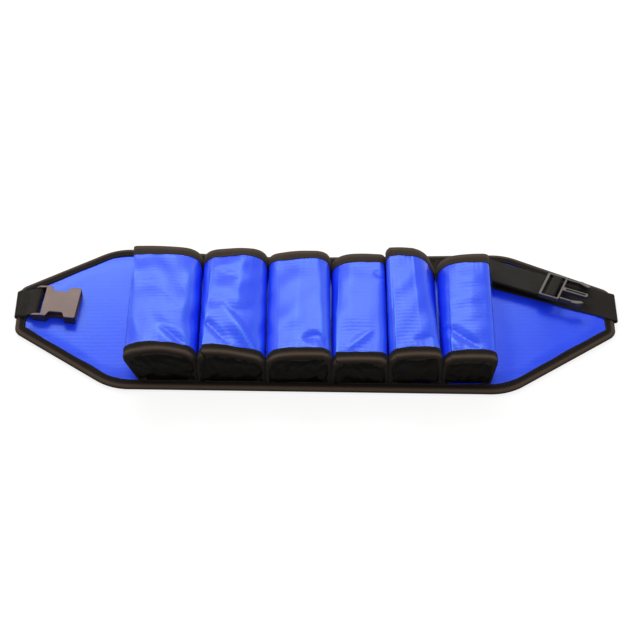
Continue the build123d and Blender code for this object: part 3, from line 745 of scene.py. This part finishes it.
# %% Dark strip of painted shade behind the mouths
strip_x = np.linspace(-203, 203, 90)[:, None]
strip_low = 72.0 - 0.035 * strip_x
strip_y = strip_low + (half_edges(9.0)[1](strip_x) - strip_low) * np.linspace(0, 1, 12)[None, :]
shade_strip_face = spread(strip_x, strip_y, 6.55 + 0.12 * np.sin(strip_x / 9) * np.cos(strip_y / 6))
shade_strip = skin("shade_strip", shade_strip_face, shade_strip_face - 0.5 * upwards, shade_strip_face[..., :2], tape_cloth,
                 sheen_share=np.full(shade_strip_face.shape[:2], 0.2))
settle(shade_strip, "binding", "panel")
print("shade strip", len(shade_strip.data.polygons), "faces")

# %% [markdown]
# One seam runs right round the panel, just inside the tape's free edge, and holds both of the tape's
# legs. Its line is the outline moved inwards by a fixed distance, so that it never leaves the tape.

# %% Panel seams
seam_inset, seam_height = 10.6, 6.66
seam = outline + inward * seam_inset
seam = np.vstack([seam, seam[:1]])
panel_stitches = sew("edge_tape_stitches",
                     [stitch_row(np.hstack([seam, np.full((len(seam), 1), seam_height)]), upwards)])
settle(panel_stitches, "binding", "panel")
print("edge seam", round(run_along(seam)[-1]), "mm")


# %% [markdown]
# ## The pockets
# Each pocket is a strip of tarpaulin arched over the panel and sewn down at both feet. The base
# arch is taller than the mouth, so a weight pushed in from above stops there. No two arches are
# alike: the shoulders are round or nearly square, and the crowns slope. So each end is a short list
# of corners with their own rounding, and the sleeve is the ruled surface from one end to the other.
# Creases, slack and the pucker beside the tapes are then added along the surface's normal.

# %% Pocket shapes
# base and mouth: (x, height) of the left shoulder, the crown's peak and the right shoulder, then
# their roundings. slack: how far the crown's cloth wavers, in mm. creases: (x, y) of both ends, the
# reach of the two flanks, the left one first as seen from the first end, and the height, which is
# negative for a valley.
pockets = [
    dict(left=-206, right=-138, base_y=-92.5, mouth_y=84.5, slack=1.6,
         base=[(-226, 46.5), (-180, 56.5), (-138, 44)], base_cuts=(19, 18, 18),
         mouth=[(-222, 33.5), (-186, 34), (-138, 28)], mouth_cuts=(7, 22, 24),
         creases=[(-182, -52, -150, -80, 13, 9, -2.6), (-148, 70, -156, -40, 20, 22, 1.4),
                  (-200, 30, -160, -20, 16, 20, -0.8)]),
    dict(left=-136, right=-59, base_y=-94.5, mouth_y=82.5, slack=1.5,
         base=[(-136, 50), (-112, 52), (-59, 38)], base_cuts=(22, 20, 16),
         mouth=[(-136, 28), (-86, 33), (-59, 27)], mouth_cuts=(20, 14, 18),
         creases=[(-87, 78, -95, -22, 24, 26, 1.9), (-112, -12, -72, -82, 9, 14, 2.2),
                  (-132, -36, -100, -80, 11, 8, -2.8), (-120, 50, -92, 30, 10, 12, -0.9)]),
    dict(left=-57, right=17, base_y=-96.5, mouth_y=79.5, slack=0.9,
         base=[(-57, 41), (-30, 47.5), (17, 47)], base_cuts=(18, 14, 13),
         mouth=[(-57, 23.5), (-24, 30.5), (17, 30)], mouth_cuts=(13, 12, 19),
         creases=[(-18, 70, -24, -70, 22, 26, 1.2), (-16, -70, 6, -58, 12, 15, -2.6),
                  (6, -58, 15, -84, 9, 12, -2.0)]),
    dict(left=19, right=83, base_y=-97.5, mouth_y=75.5, slack=0.9,
         base=[(19, 38.5), (46, 41.5), (83, 39)], base_cuts=(16, 24, 12),
         mouth=[(19, 26), (52, 30), (83, 28)], mouth_cuts=(25, 12, 7),
         creases=[(36, -80, 66, -48, 9, 11, 1.5), (44, 66, 40, -50, 18, 24, 0.9),
                  (70, 50, 82, 36, 8, 10, -1.2)]),
    dict(left=85, right=145, base_y=-97.5, mouth_y=74.5, slack=0.5,
         base=[(85, 44), (108, 50), (145, 48.5)], base_cuts=(15, 16, 10),
         mouth=[(85, 41), (106, 43.5), (131, 37)], mouth_cuts=(9, 18, 17),
         creases=[(98, 60, 104, -80, 16, 20, 0.8), (112, -74, 138, -66, 10, 12, -1.0)]),
    dict(left=147, right=203, base_y=-97.5, mouth_y=69.5, slack=0.6,
         base=[(147, 41), (176, 45), (210.5, 42.5)], base_cuts=(17, 20, 12),
         mouth=[(147, 29), (184, 36), (209.5, 36)], mouth_cuts=(25, 16, 9),
         creases=[(148, -40, 190, -80, 12, 12, -2.9), (152, -50, 166, -86, 9, 7, 1.5),
                  (188, 60, 180, -40, 18, 20, 0.8)]),
]
section_counts = [20, 18, 18, 20]
base_lean, mouth_lean = 3.0, 1.0


def arch_line(pocket, end, inset=0.0):
    """A pocket's arch at its base or its mouth, inset by so many mm, as points in space.

    The arch leans: y grows with height, up to its lean (mm) at the crown."""
    corners = [(pocket["left"], 0), *pocket[end], (pocket["right"], 0)]
    corners = inset_corners(corners[::-1], inset, (1, 0))[::-1]
    cuts = np.maximum(np.array(pocket[end + "_cuts"]) - 0.75 * inset, 1.5)
    line = rounded(corners, cuts, section_counts)
    lean = (base_lean if end == "base" else mouth_lean) / max(height for _, height in pocket[end])
    return np.stack([line[:, 0], pocket[end + "_y"] + lean * line[:, 1], line[:, 1] + panel_top], 1)


for number, pocket in enumerate(pockets, start=1):
    pocket.update(name=f"pocket_{number}", number=number, length=pocket["mouth_y"] - pocket["base_y"],
                  base_arc=run_along(arch_line(pocket, "base"))[-1])
    print(pocket["name"], "strip", round(pocket["base_arc"]), "mm at the base,",
          round(run_along(arch_line(pocket, "mouth"))[-1]), "at the mouth")


# %% Creases
def crease_height(x, y, crease):
    """A crease between two points: a roof whose height falls off to both sides and to both ends.

    It is h s (1 - d / r)^1.35 at the distance d aside, where s = sin(pi t)^0.6 for the share t
    along the crease, and the reach r shrinks to 0.45 of a flank's reach at the ends."""
    x0, y0, x1, y1, left_reach, right_reach, height = crease
    length = hypot(x1 - x0, y1 - y0)
    along = ((x - x0) * (x1 - x0) + (y - y0) * (y1 - y0)) / length ** 2
    aside = ((y - y0) * (x1 - x0) - (x - x0) * (y1 - y0)) / length
    swell = clamp(np.sin(pi * clamp(along))) ** 0.6
    reach = np.where(aside > 0, left_reach, right_reach) * (0.45 + 0.55 * swell)
    roof = clamp(1 - np.sqrt(aside ** 2 + 0.5) / reach)
    return height * swell * roof ** 1.35


def waves_in_fixed_directions(x, y, seed, sizes, most_phase, waves):
    """The turns of a few plane waves at each point, and their phases: directions, sizes and phases
    are drawn from a seed."""
    chance = np.random.default_rng(seed)
    angle, size, phase = (chance.uniform(low, high, waves) for low, high in ((0, pi), sizes, (0, most_phase)))
    return x[..., None] * np.cos(angle) + y[..., None] * np.sin(angle), size, phase


def slack(x, y, seed, waves=7):
    """Uneven slack, -1 to 1: the mean of a few long sine waves in fixed directions, each of them
    bent a little by another."""
    way, size, phase = waves_in_fixed_directions(x, y, seed, (26, 74), 6.3, waves)
    way = way * 2 * pi / size
    return np.sin(way + phase + 0.6 * np.sin(way[..., ::-1] * 0.5)).mean(axis=-1)


def sleeve_surface(pocket, shares):
    """The outer face of a pocket's sleeve at shares of its length from base to mouth, and its normals.

    It is the ruled surface (1 - s) base + s mouth, lifted along its normals by the creases, the
    slack, a belly of 0.35 sin(pi s) mm, and a pucker of 0.22 mm that fades as e^(-d / 11) at the
    distance d from an end. Creases and slack fade out towards the ends, and all of it at the feet."""
    base, mouth = arch_line(pocket, "base"), arch_line(pocket, "mouth")
    shares = np.asarray(shares, float).reshape(-1, 1, 1) if np.ndim(shares) < 2 else shares[..., None]
    grid = base + shares * (mouth - base)
    normal = normals_of(grid)
    normal = normal * np.sign(normal[..., 2].mean())
    x, y, z = np.moveaxis(grid, -1, 0)
    held = clamp(shares[..., 0])
    from_end = np.minimum(held, 1 - held) * pocket["length"]
    crown = clamp(normal[..., 2] * 1.6 - 0.3)
    height = sum(crease_height(x, y, crease) for crease in pocket["creases"]) * crown
    height = height * clamp(from_end / 5)
    loose = 0.3 + pocket["slack"] * crown
    belly = 0.35 * np.sin(pi * held)
    height = height + clamp(from_end / 12) * (loose * slack(x, y + z, pocket["number"]) + belly)
    arc = run_along(base)[None, :]
    pucker = 0.22 * np.sin(arc * 2 * pi / 8.5 + 2 * np.sin(arc / 13)) * np.exp(-from_end / 11)
    foot = clamp(np.minimum(arc, arc[:, -1:] - arc) / 10)
    return grid + normal * ((height + pucker) * foot)[..., None], normal


def painted_sheen(grid, normal, reach):
    """Painted sheen where a surface stands proud of its neighbours: its bend, -(mean of neighbours - point) .
    normal.
    """
    mean = sum(np.roll(grid, step, axis) for axis in (0, 1) for step in (1, -1)) / 4
    bend = -np.sum((mean - grid) * normal, axis=-1)
    bend[0], bend[-1], bend[:, 0], bend[:, -1] = 0, 0, 0, 0
    return clamp(bend * reach)


trial = crease_height(5, 1, (0, 0, 10, 0, 4, 4, 2))
print("a crease 2 mm high with flanks of 4 mm is", round(float(trial), 1), "mm high 1 mm from its line")


# %% Sleeves
sleeve_rows, sleeve_thickness = 84, 1.2
sleeves = []
for pocket in pockets:
    shares = np.linspace(0, 1, sleeve_rows)
    outer, normal = sleeve_surface(pocket, shares)
    arc = np.linspace(0, 1, outer.shape[1])[None, :] * pocket["base_arc"]
    # the sleeve's proud ridges get a painted cyan sheen in place of the lamp's highlight
    sleeve = skin(pocket["name"] + "_sleeve_cloth", outer, outer - normal * sleeve_thickness,
                  spread(arc, shares[:, None] * pocket["length"]), pocket_tarpaulin,
                  sheen_share=painted_sheen(outer, normal, 5.0))
    settle(sleeve, "tarpaulin", "panel", pocket["name"] + "_sleeve")
    sleeves.append(sleeve)
print("sleeves", [len(sleeve.data.polygons) for sleeve in sleeves], "faces")

# %% [markdown]
# The base of each arch is closed by a gusset, a flat piece of thin coated cloth that crumples when
# the pocket is filled. Crumpled cloth is made of flat facets that meet in sharp lines, so its height
# is a sum of folded ramps, |x mod 1 - 1/2|, in several directions, each bent a little by another.

# %% Gussets
def crumple(x, z, seed, waves=9):
    """Crumpled cloth, about -1 to 1: twice the mean of folded ramps 4 |t mod 1 - 1/2| - 1."""
    ramp, size, phase = waves_in_fixed_directions(x, z, seed, (9, 34), 1, waves)
    ramp = ramp / size + phase
    ramp = ramp + 0.25 * np.sin(ramp[..., ::-1] * 1.7)
    return (4 * np.abs(ramp % 1 - 0.5) - 1).mean(axis=-1) * 2


outward = np.array([0, -1.0, 0])
gusset_rows, gusset_thickness, first_seed = 40, 0.9, 40
gussets = []
for pocket in pockets:
    rim = arch_line(pocket, "base", 0.6)
    # each column of points hangs from the rim to the foot line, and bulges out where it is free
    share = run_along(rim) / run_along(rim)[-1]
    foot = rim[0] + share[:, None] * (rim[-1] - rim[0])
    down = np.linspace(0, 1, gusset_rows)[:, None]
    grid = rim + down[..., None] * (foot - rim)
    middle = clamp((1 - np.abs(1 - 2 * down)) * 1.6) * clamp(np.sin(pi * share) * 2)
    free = clamp(down * np.linalg.norm(foot - rim, axis=1) / 12) * clamp((1 - down) * 5)
    creased = crumple(grid[..., 0], grid[..., 2], first_seed + pocket["number"])
    bulge = 1.2 + free * (1.2 + 1.5 * creased) + 1.2 * middle * free
    outer = grid + bulge[..., None] * outward
    gusset = skin(pocket["name"] + "_gusset_cloth", outer, outer - gusset_thickness * outward,
                  grid[..., ::2], gusset_cloth, sharp=55)
    settle(gusset, "gusset_cloth", "panel", pocket["name"] + "_base_gusset")
    gussets.append(gusset)
print("gussets", [len(gusset.data.polygons) for gusset in gussets], "faces")

# %% [markdown]
# A tape is folded over the base seam and another over the mouth's rim. Each one is a folded profile
# carried round the arch: one leg lies on the sleeve, the fold rounds the edge, and the other leg lies
# on the gusset or inside the mouth. A single seam holds both legs, and draws the tape in a little.

# %% Pocket tapes
leg_depths = np.array([10.9, 10.6, 8.2, 5.0, 2.0, 0.4])
proud = np.array([0.2, 0.82, 0.88, 0.8, 0.85, 0.9])[:, None, None]
clearance = 0.02
# (inset, reach) of the tape's two faces round the edge of each arch; the base's far leg is included
folds = {"base": ([(-0.75, 0.4), (-0.5, 1.4), (0.1, 2.0), (1.2, 2.1), (4.0, 2.15), (7.5, 2.15), (9.7, 2.1),
                   (9.9, 1.4)],
                  [(-0.02, 0.3), (0.0, 0.9), (0.3, 1.22), (1.2, 1.22), (4.0, 1.22), (7.5, 1.22),
                   (9.5, 1.22), (9.6, 1.0)]),
         "mouth": ([(-0.7, 0.35), (-0.1, 0.95), (0.7, 1.0), (1.5, 0.8), (1.95, 0.2)],
                   [(-0.02, 0.1), (0.2, 0.15), (0.6, 0.18), (0.9, 0.15), (1.18, 0.05)])}


def tape_round(pocket, end):
    """The outer and inner faces of a folded tape round a pocket's base or mouth, and the top's normals.

    One leg is the sleeve's surface from the leg's free edge to the arch, lifted by the tape's
    profile. The fold and the base's far leg are the arch itself, inset and pushed out past the edge
    by the pairs in folds. The mouth's far leg is the sleeve's inner face, let down by the profile."""
    at_base = end == "base"
    arc = run_along(arch_line(pocket, end))
    sway = 0.5 * np.sin(arc / 9.5 + pocket["number"]) + 0.25 * np.sin(arc / 3.1)
    depths = (leg_depths * (1.0 if at_base else 1.22))[:, None]
    depths = depths + sway * clamp((depths - 5) / 5)
    shares = depths / pocket["length"] if at_base else 1 - depths / pocket["length"]
    leg, normal = sleeve_surface(pocket, shares)
    beyond = outward if at_base else -outward
    fold, lining = ([arch_line(pocket, end, inset) + reach * beyond for inset, reach in face]
                    for face in folds[end])
    if not at_base:
        inside = leg[::-1] - normal[::-1] * sleeve_thickness
        fold += list(inside - normal[::-1] * proud[::-1])
        lining += list(inside - normal[::-1] * clearance)
    outer = np.concatenate([leg + normal * proud, np.array(fold)], axis=0)
    inner = np.concatenate([leg + normal * clearance, np.array(lining)], axis=0)
    return outer.transpose(1, 0, 2), inner.transpose(1, 0, 2), normal


for pocket in pockets:
    pocket["pieces"] = []
    for end, part in (("base", "base"), ("mouth", "rim")):
        outer, inner, normal = tape_round(pocket, end)
        arc = run_along(arch_line(pocket, end))[:, None]
        wide = run_along(outer[len(outer) // 2])[None, :]
        # painted highlight: a paler band along each fold, on the base tape only where it faces up; the rim
        # tape, lit from behind, is paler all along
        sheen_share = np.exp(-((wide - 11.5) / 2.6) ** 2) * np.ones_like(arc)
        lit_top = clamp(normal[:1, :, 2].T * 2.2 - 0.7)
        sheen_share = sheen_share * lit_top if end == "base" else 0.4 + 0.6 * sheen_share
        tape = skin(f"{pocket['name']}_{part}_tape", outer, inner, spread(wide, arc), tape_cloth, sheen_share=sheen_share)
        settle(tape, "binding", "panel", f"{pocket['name']}_{part}_binding")
        pocket["pieces"].append(tape)
print("tapes", [len(tape.data.polygons) for pocket in pockets for tape in pocket["pieces"]], "faces")

# %% [markdown]
# A row of stitches follows each arch at a fixed depth on the sleeve, lifted to the tape's face and
# leaning with it. The base seam comes out again on the gusset's side, so it gets a second row there.

# %% Pocket seams
seam_depth, seam_lift, gusset_seam, gusset_lift = 9.2, 0.95, 8.2, 2.2
beside = np.array([-0.002, 0, 0.002])
for pocket, sleeve, gusset in zip(pockets, sleeves, gussets):
    rows = []
    for depth in (seam_depth, pocket["length"] - seam_depth):
        seam, normal = sleeve_surface(pocket, depth / pocket["length"] + beside)
        rows.append(stitch_row(seam[1] + normal[1] * seam_lift, normal[1]))
    rows.append(stitch_row(arch_line(pocket, "base", gusset_seam) + outward * gusset_lift, outward))
    thread = sew(pocket["name"] + "_stitches", rows)
    settle(thread, "binding", "panel")
    pocket["pieces"].append(thread)
print("stitches", sum(len(pocket["pieces"][-1].data.polygons) for pocket in pockets) // bead_faces)


# %% [markdown]
# ## Webbing
# Webbing is a flat woven ribbon that bends only across its width, so a strip is fully given by the
# paths of its two edges. Between them the cross-section is a thin rectangle with rounded selvedges,
# and the cloth's flat place is the distance along and across it, so that the weave runs with the
# strap round every fold.

# %% Webbing strips
web, ply, selvedge = 40.0, 1.6, 1.3


def add_web(name, edges, *stands_for):
    """A ribbon between two edge paths (mm), with rounded selvedges, in place of CAD nodes.

    At the distance d from an edge its half thickness is (t / 2) (1 - (1 - d / s)^2)^(1/2) within the
    selvedge s, but no less than t / 10, and t / 2 elsewhere."""
    left_edge, right_edge = edges
    width = np.linalg.norm(left_edge - right_edge, axis=1).mean()
    from_edge = np.array([0.0, 0.12, 0.45, 0.95, 1.5])
    place = np.concatenate([from_edge, np.linspace(0.1, 0.9, 9) * width, width - from_edge[::-1]])
    near = clamp(np.minimum(place, width - place) / selvedge)
    half = ply / 2 * np.maximum(np.sqrt(1 - (1 - near) ** 2), 0.2)
    share = (place / width)[None, :, None]
    middle = left_edge[:, None] * (1 - share) + right_edge[:, None] * share
    off_middle = normals_of(middle) * half[None, :, None]
    along = run_along((left_edge + right_edge) / 2)
    piece = skin(name, middle + off_middle, middle - off_middle, spread(place[None, :], along[:, None]),
                 webbing, sharp=60)
    settle(piece, "webbing", None, *stands_for)
    return piece


def declare_web(edges):
    """The length of a strip's middle line, in mm."""
    length = run_along((edges[0] + edges[1]) / 2)[-1] * MM
    return round(length / MM)


def joined(*lines):
    """Lines end to end, each without its last point but the final one."""
    return np.concatenate([line[:-1] for line in lines[:-1]] + [lines[-1]])


def line(start, end, count=None, step=3.0):
    """A straight line of points every few mm, or of so many points."""
    start, end = np.array(start, float), np.array(end, float)
    count = count or max(int(np.linalg.norm(end - start) / step), 1) + 1
    return start + np.linspace(0, 1, count)[:, None] * (end - start)


web_level, flap_level = 3.2, 7.5
fold_x, fold_level, fold_radius, fold_reach = 358.3, 5.35, 2.15, 24
anchor = line((58, web_level), (0, web_level))


def folded_edges(side, centre_y, tilt, flap):
    """Both edges of a web that comes out of the panel, turns over its end and runs back on top.

    side is -1 or 1 for the left or right end. anchor and flap are lines of (distance from the fold,
    height). The flap's direction is (-side cos tilt, sin tilt); the anchor is its mirror. A fold
    cuts the strip along y, so near it each edge is shifted along the strip by w tan(tilt)."""
    edges = []
    for w in (web / 2, -web / 2):
        parts = []
        for route, lean in ((anchor, -tilt), (flap, tilt)):
            way = np.array([-side * cos(lean), sin(lean)])
            off = np.array([side * sin(lean), cos(lean)])
            shift = w * tan(lean) * clamp(1 - route[:, 0] / fold_reach)
            plan = (route[:, :1] + shift[:, None]) * way + w * off
            parts.append(np.hstack([plan + [side * fold_x, centre_y], route[:, 1:]]))
        turn = np.linspace(-pi / 2, pi / 2, 11)[:, None]
        fold = np.hstack([side * fold_x + side * fold_radius * np.cos(turn),
                          np.full_like(turn, centre_y + w / cos(tilt)),
                          fold_level + fold_radius * np.sin(turn)])
        edges.append(joined(parts[0], fold, parts[1]))
    return edges


print("webbing", web, "mm wide and", ply, "mm thick")


# %% [markdown]
# The left web comes out of the panel's end, turns over and runs back on top, and its own end is a
# loop round the socket's bar. The straight parts of the loop touch the eye as tangents: from a point
# at the distance d and the depth h below the bar, the tangent to an eye of radius r slopes by
# atan(h / d) less asin(r / hypot(d, h)) on the near side of the eye, or more by it on the far side.

# %% Left strap: a loop round the socket's bar
left_y, left_tilt = 21.7, radians(-6.4)
# mm from the fold to the bar and to the loop's start, the bar's height and the eye's radius
bar, loop_start, bar_level, eye = 24.5, 10, 12.7, 3.2
to_bar, climb, drop = bar - loop_start, bar_level - flap_level, bar_level - flap_level - ply
slope_in = atan2(climb, to_bar) - np.arcsin(eye / hypot(to_bar, climb))
slope_out = atan2(drop, to_bar) + np.arcsin(eye / hypot(to_bar, drop))
around = np.linspace(slope_in - pi / 2, slope_out + pi / 2, 22)
eye_line = np.stack([bar + eye * np.cos(around), bar_level + eye * np.sin(around)], 1)
low_start, high_start = (loop_start, flap_level), (loop_start, flap_level + ply)
loop = joined(line((0, flap_level), low_start), line(low_start, eye_line[0]), eye_line,
              line(eye_line[-1], high_start), line(high_start, (0.8, flap_level + ply)))
left_edges = folded_edges(-1, left_y, left_tilt, loop)
left_web = add_web("left_web", left_edges, "left_web_anchor", "left_web_fold", "left_web_loop")
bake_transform(left_web)
print("left web", len(left_web.data.polygons), "faces")

# %% [markdown]
# The right web runs over the blue face to a slanting turn, folds back over itself there and returns
# above, where the plug hangs on it. It could be one long ribbon, but its parts bend between
# different bodies. So it is a chain of pieces that meet edge to edge: the lower run, the half turn,
# the upper run, the bridge over the plug's bar, and the tail with its end.

# %% Right strap: the lower run
right_y, turn_point, turn_height = 16.0, np.array([224.0, 63.5]), 14.0
lower_tilt = atan2(turn_point[1] - right_y, fold_x - turn_point[0])
lower_length = hypot(turn_point[1] - right_y, fold_x - turn_point[0])
upper_tilt, roll = radians(22.0), radians(11.5)
turn_tilt = (lower_tilt + upper_tilt) / 2
turn_line = np.array([sin(turn_tilt), cos(turn_tilt), 0])
right_edges = folded_edges(1, right_y, lower_tilt, line((0, flap_level), (lower_length, flap_level)))
for edge, w in zip(right_edges, (web / 2, -web / 2)):
    cut = np.array([*turn_point, flap_level]) + turn_line * w
    near = clamp(1 - np.linalg.norm(edge - edge[-1], axis=1) / 12)[:, None]
    edge += near * (cut - edge[-1])
right_web = add_web("right_web", right_edges, "right_web_anchor", "right_web_fold", "right_web_lower")
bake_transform(right_web)
print("right web", declare_web(right_edges), "mm to the turn")

# %% Right strap: the turn, the upper run, the tail and the bridge over the plug's bar
turn_start = np.array([*turn_point, turn_height])
turn_out = np.array([-cos(turn_tilt), sin(turn_tilt), 0])
upper_way = np.array([cos(upper_tilt), -sin(upper_tilt), 0])
upper_up = np.array([sin(upper_tilt) * sin(roll), cos(upper_tilt) * sin(roll), cos(roll)])
upper_side = np.cross(upper_up, upper_way)
plug_share, wing_length = 0.4374, 153.0
plug_along, tail_lift, tail_cut_x = plug_share * wing_length, ply + 0.3, 212.0
half_bar, bar_top, tail_back = 5.05, 6.1, 7.7


def upper_point(along, w, lift=0.0):
    """A point of the upper run: along the strap from its turn, w across it and lift off its face."""
    along, w, lift = (np.asarray(value, float)[..., None] for value in (along, w, lift))
    return turn_start + along * upper_way + w * upper_side + lift * upper_up


def to_turn_line(w, lift=0.0):
    """How far along the strap a line at w crosses the upright plane of the turn."""
    offset = w * (upper_side @ turn_out) + lift * (upper_up @ turn_out)
    return -offset / (upper_way @ turn_out)


def upper_paths(w):
    """The paths of the five upper pieces at w across the strap, by name.

    At the angle a from -90 to 90 degrees the half turn has gone (1 + sin a) / 2 of the way from its
    low end to its high one, and stands out by r cos a."""
    low_end = np.array([*turn_point, flap_level]) + turn_line * w
    high_end = upper_point(to_turn_line(w), w)
    angle = np.linspace(-pi / 2, pi / 2, 15)[:, None]
    radius = (high_end[2] - low_end[2]) / 2
    half_turn = low_end + (np.sin(angle) + 1) / 2 * (high_end - low_end) + turn_out * radius * np.cos(angle)
    tail_turn = upper_point(to_turn_line(w, tail_lift), w, tail_lift)
    tail_cut = (tail_cut_x - upper_point(0, w, tail_lift)[0]) / upper_way[0]
    over_bar = rounded([(1.2, 0), (half_bar, 0), (half_bar, bar_top), (-half_bar, bar_top),
                        (-half_bar, tail_lift), (-tail_back, tail_lift)],
                       (1.9, 2.2, 2.2, 1.9), (4, 10, 14, 9, 5))
    return {
        "half_turn": half_turn,
        "upper_run": line(high_end, upper_point(plug_along + 1.4, w), 26),
        "tail_run": line(upper_point(plug_along - 7.5, w, tail_lift), tail_turn, 24),
        "tail_end": line(tail_turn, upper_point(tail_cut, w, tail_lift), 8),
        "over_bar": upper_point(plug_along + over_bar[:, 0], np.full(len(over_bar), w), over_bar[:, 1]),
    }


on_left, on_right = upper_paths(web / 2), upper_paths(-web / 2)
upper_edges = {name: (on_left[name], on_right[name]) for name in on_left}
half_turn = add_web("right_web_half_turn", upper_edges["half_turn"], "right_web_turn")
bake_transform(half_turn)
upper_run = add_web("right_web_upper_run", upper_edges["upper_run"], "right_web_upper")
tail_run = add_web("right_web_tail_run", upper_edges["tail_run"], "right_web_tail")
for run in (upper_run, tail_run):
    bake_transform(run)
tail_end = add_web("right_web_tail_end", upper_edges["tail_end"])
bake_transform(tail_end)
bridge = add_web("right_web_over_bar", upper_edges["over_bar"], "right_web_bridge")
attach(bridge, "plug")
lengths = [declare_web(upper_edges["half_turn"]),
           declare_web(upper_edges["upper_run"]),
           declare_web(upper_edges["tail_run"]),
           declare_web(upper_edges["tail_end"]),
           declare_web(upper_edges["over_bar"])]
print("right strap: turn, upper run, tail, its end, and bridge are", lengths, "mm")

# %% [markdown]
# The left loop is closed by three short rows of stitches across the web. On the panel's back each
# web's anchor is sewn down with a box and a cross, which spread the pull over many threads.

# %% Webbing seams
loop_seams, loop_seam_level, loop_seam_reach = (3.6, 5.2, 8.6), 10.0, 18
box_near, box_far, box_reach, box_level = 16, 50, 17, 0.3


def on_strap(side, centre_y, way, s, w, height):
    """A point of a strap: s along its way from the fold, w across it, at a height."""
    across = np.array([-way[1], way[0], 0]) * -side
    return np.array([side * fold_x, centre_y, 0]) + s * way + w * across + height * upwards


left_way = np.array([cos(left_tilt), sin(left_tilt), 0])
rows = [[on_strap(-1, left_y, left_way, s, w, loop_seam_level) for w in (-loop_seam_reach, loop_seam_reach)]
        for s in loop_seams]
loop_stitches = sew("left_web_stitches", [stitch_row(line(*ends), upwards, 3.0, 0.8) for ends in rows])
settle(loop_stitches, "webbing", "left_strap")
print("left web", declare_web(left_edges), "mm")


def box_stitch(side, centre_y, tilt):
    """A sewn box with a cross in it, on the panel's back over a web's anchor."""
    way = np.array([-side * cos(tilt), -sin(tilt), 0])
    places = (box_near, -box_reach), (box_far, -box_reach), (box_far, box_reach), (box_near, box_reach)
    corner = [on_strap(side, centre_y, way, s, w, box_level) for s, w in places]
    paths = [(0, 1), (1, 2), (2, 3), (3, 0), (0, 2), (1, 3)]
    return [stitch_row(line(corner[a], corner[b]), -upwards, 3.2, 0.9) for a, b in paths]


anchor_stitches = sew("anchor_stitches",
                      box_stitch(-1, left_y, left_tilt) + box_stitch(1, right_y, lower_tilt))
settle(anchor_stitches, "webbing", "panel")
print("anchors sewn with", len(anchor_stitches.data.polygons) // bead_faces, "stitches")


# %% [markdown]
# ## The buckle
# A side-release buckle has two moulded halves. The socket is a flat hollow shell with a slot in each
# side: the latches of the plug spring out into the slots and hold it, and two fingers press them in
# again. The plug is a frame with bars for its web, a stiff centre guide and the two springy latches.
# These parts come from the CAD frame as they are, because their shape decides how they slide and
# catch. Only the finish is added here.

# %% Buckle finish
finishes = {"socket_buckle": socket_plastic, "plug_frame": plug_plastic,
            "near_latch": plug_plastic, "far_latch": plug_plastic}
for name, plastic in finishes.items():
    nodes[name].material_slots[0].material = plastic
print("CAD parts left in sight:", sorted(name for name, node in nodes.items() if not node.hide_render))
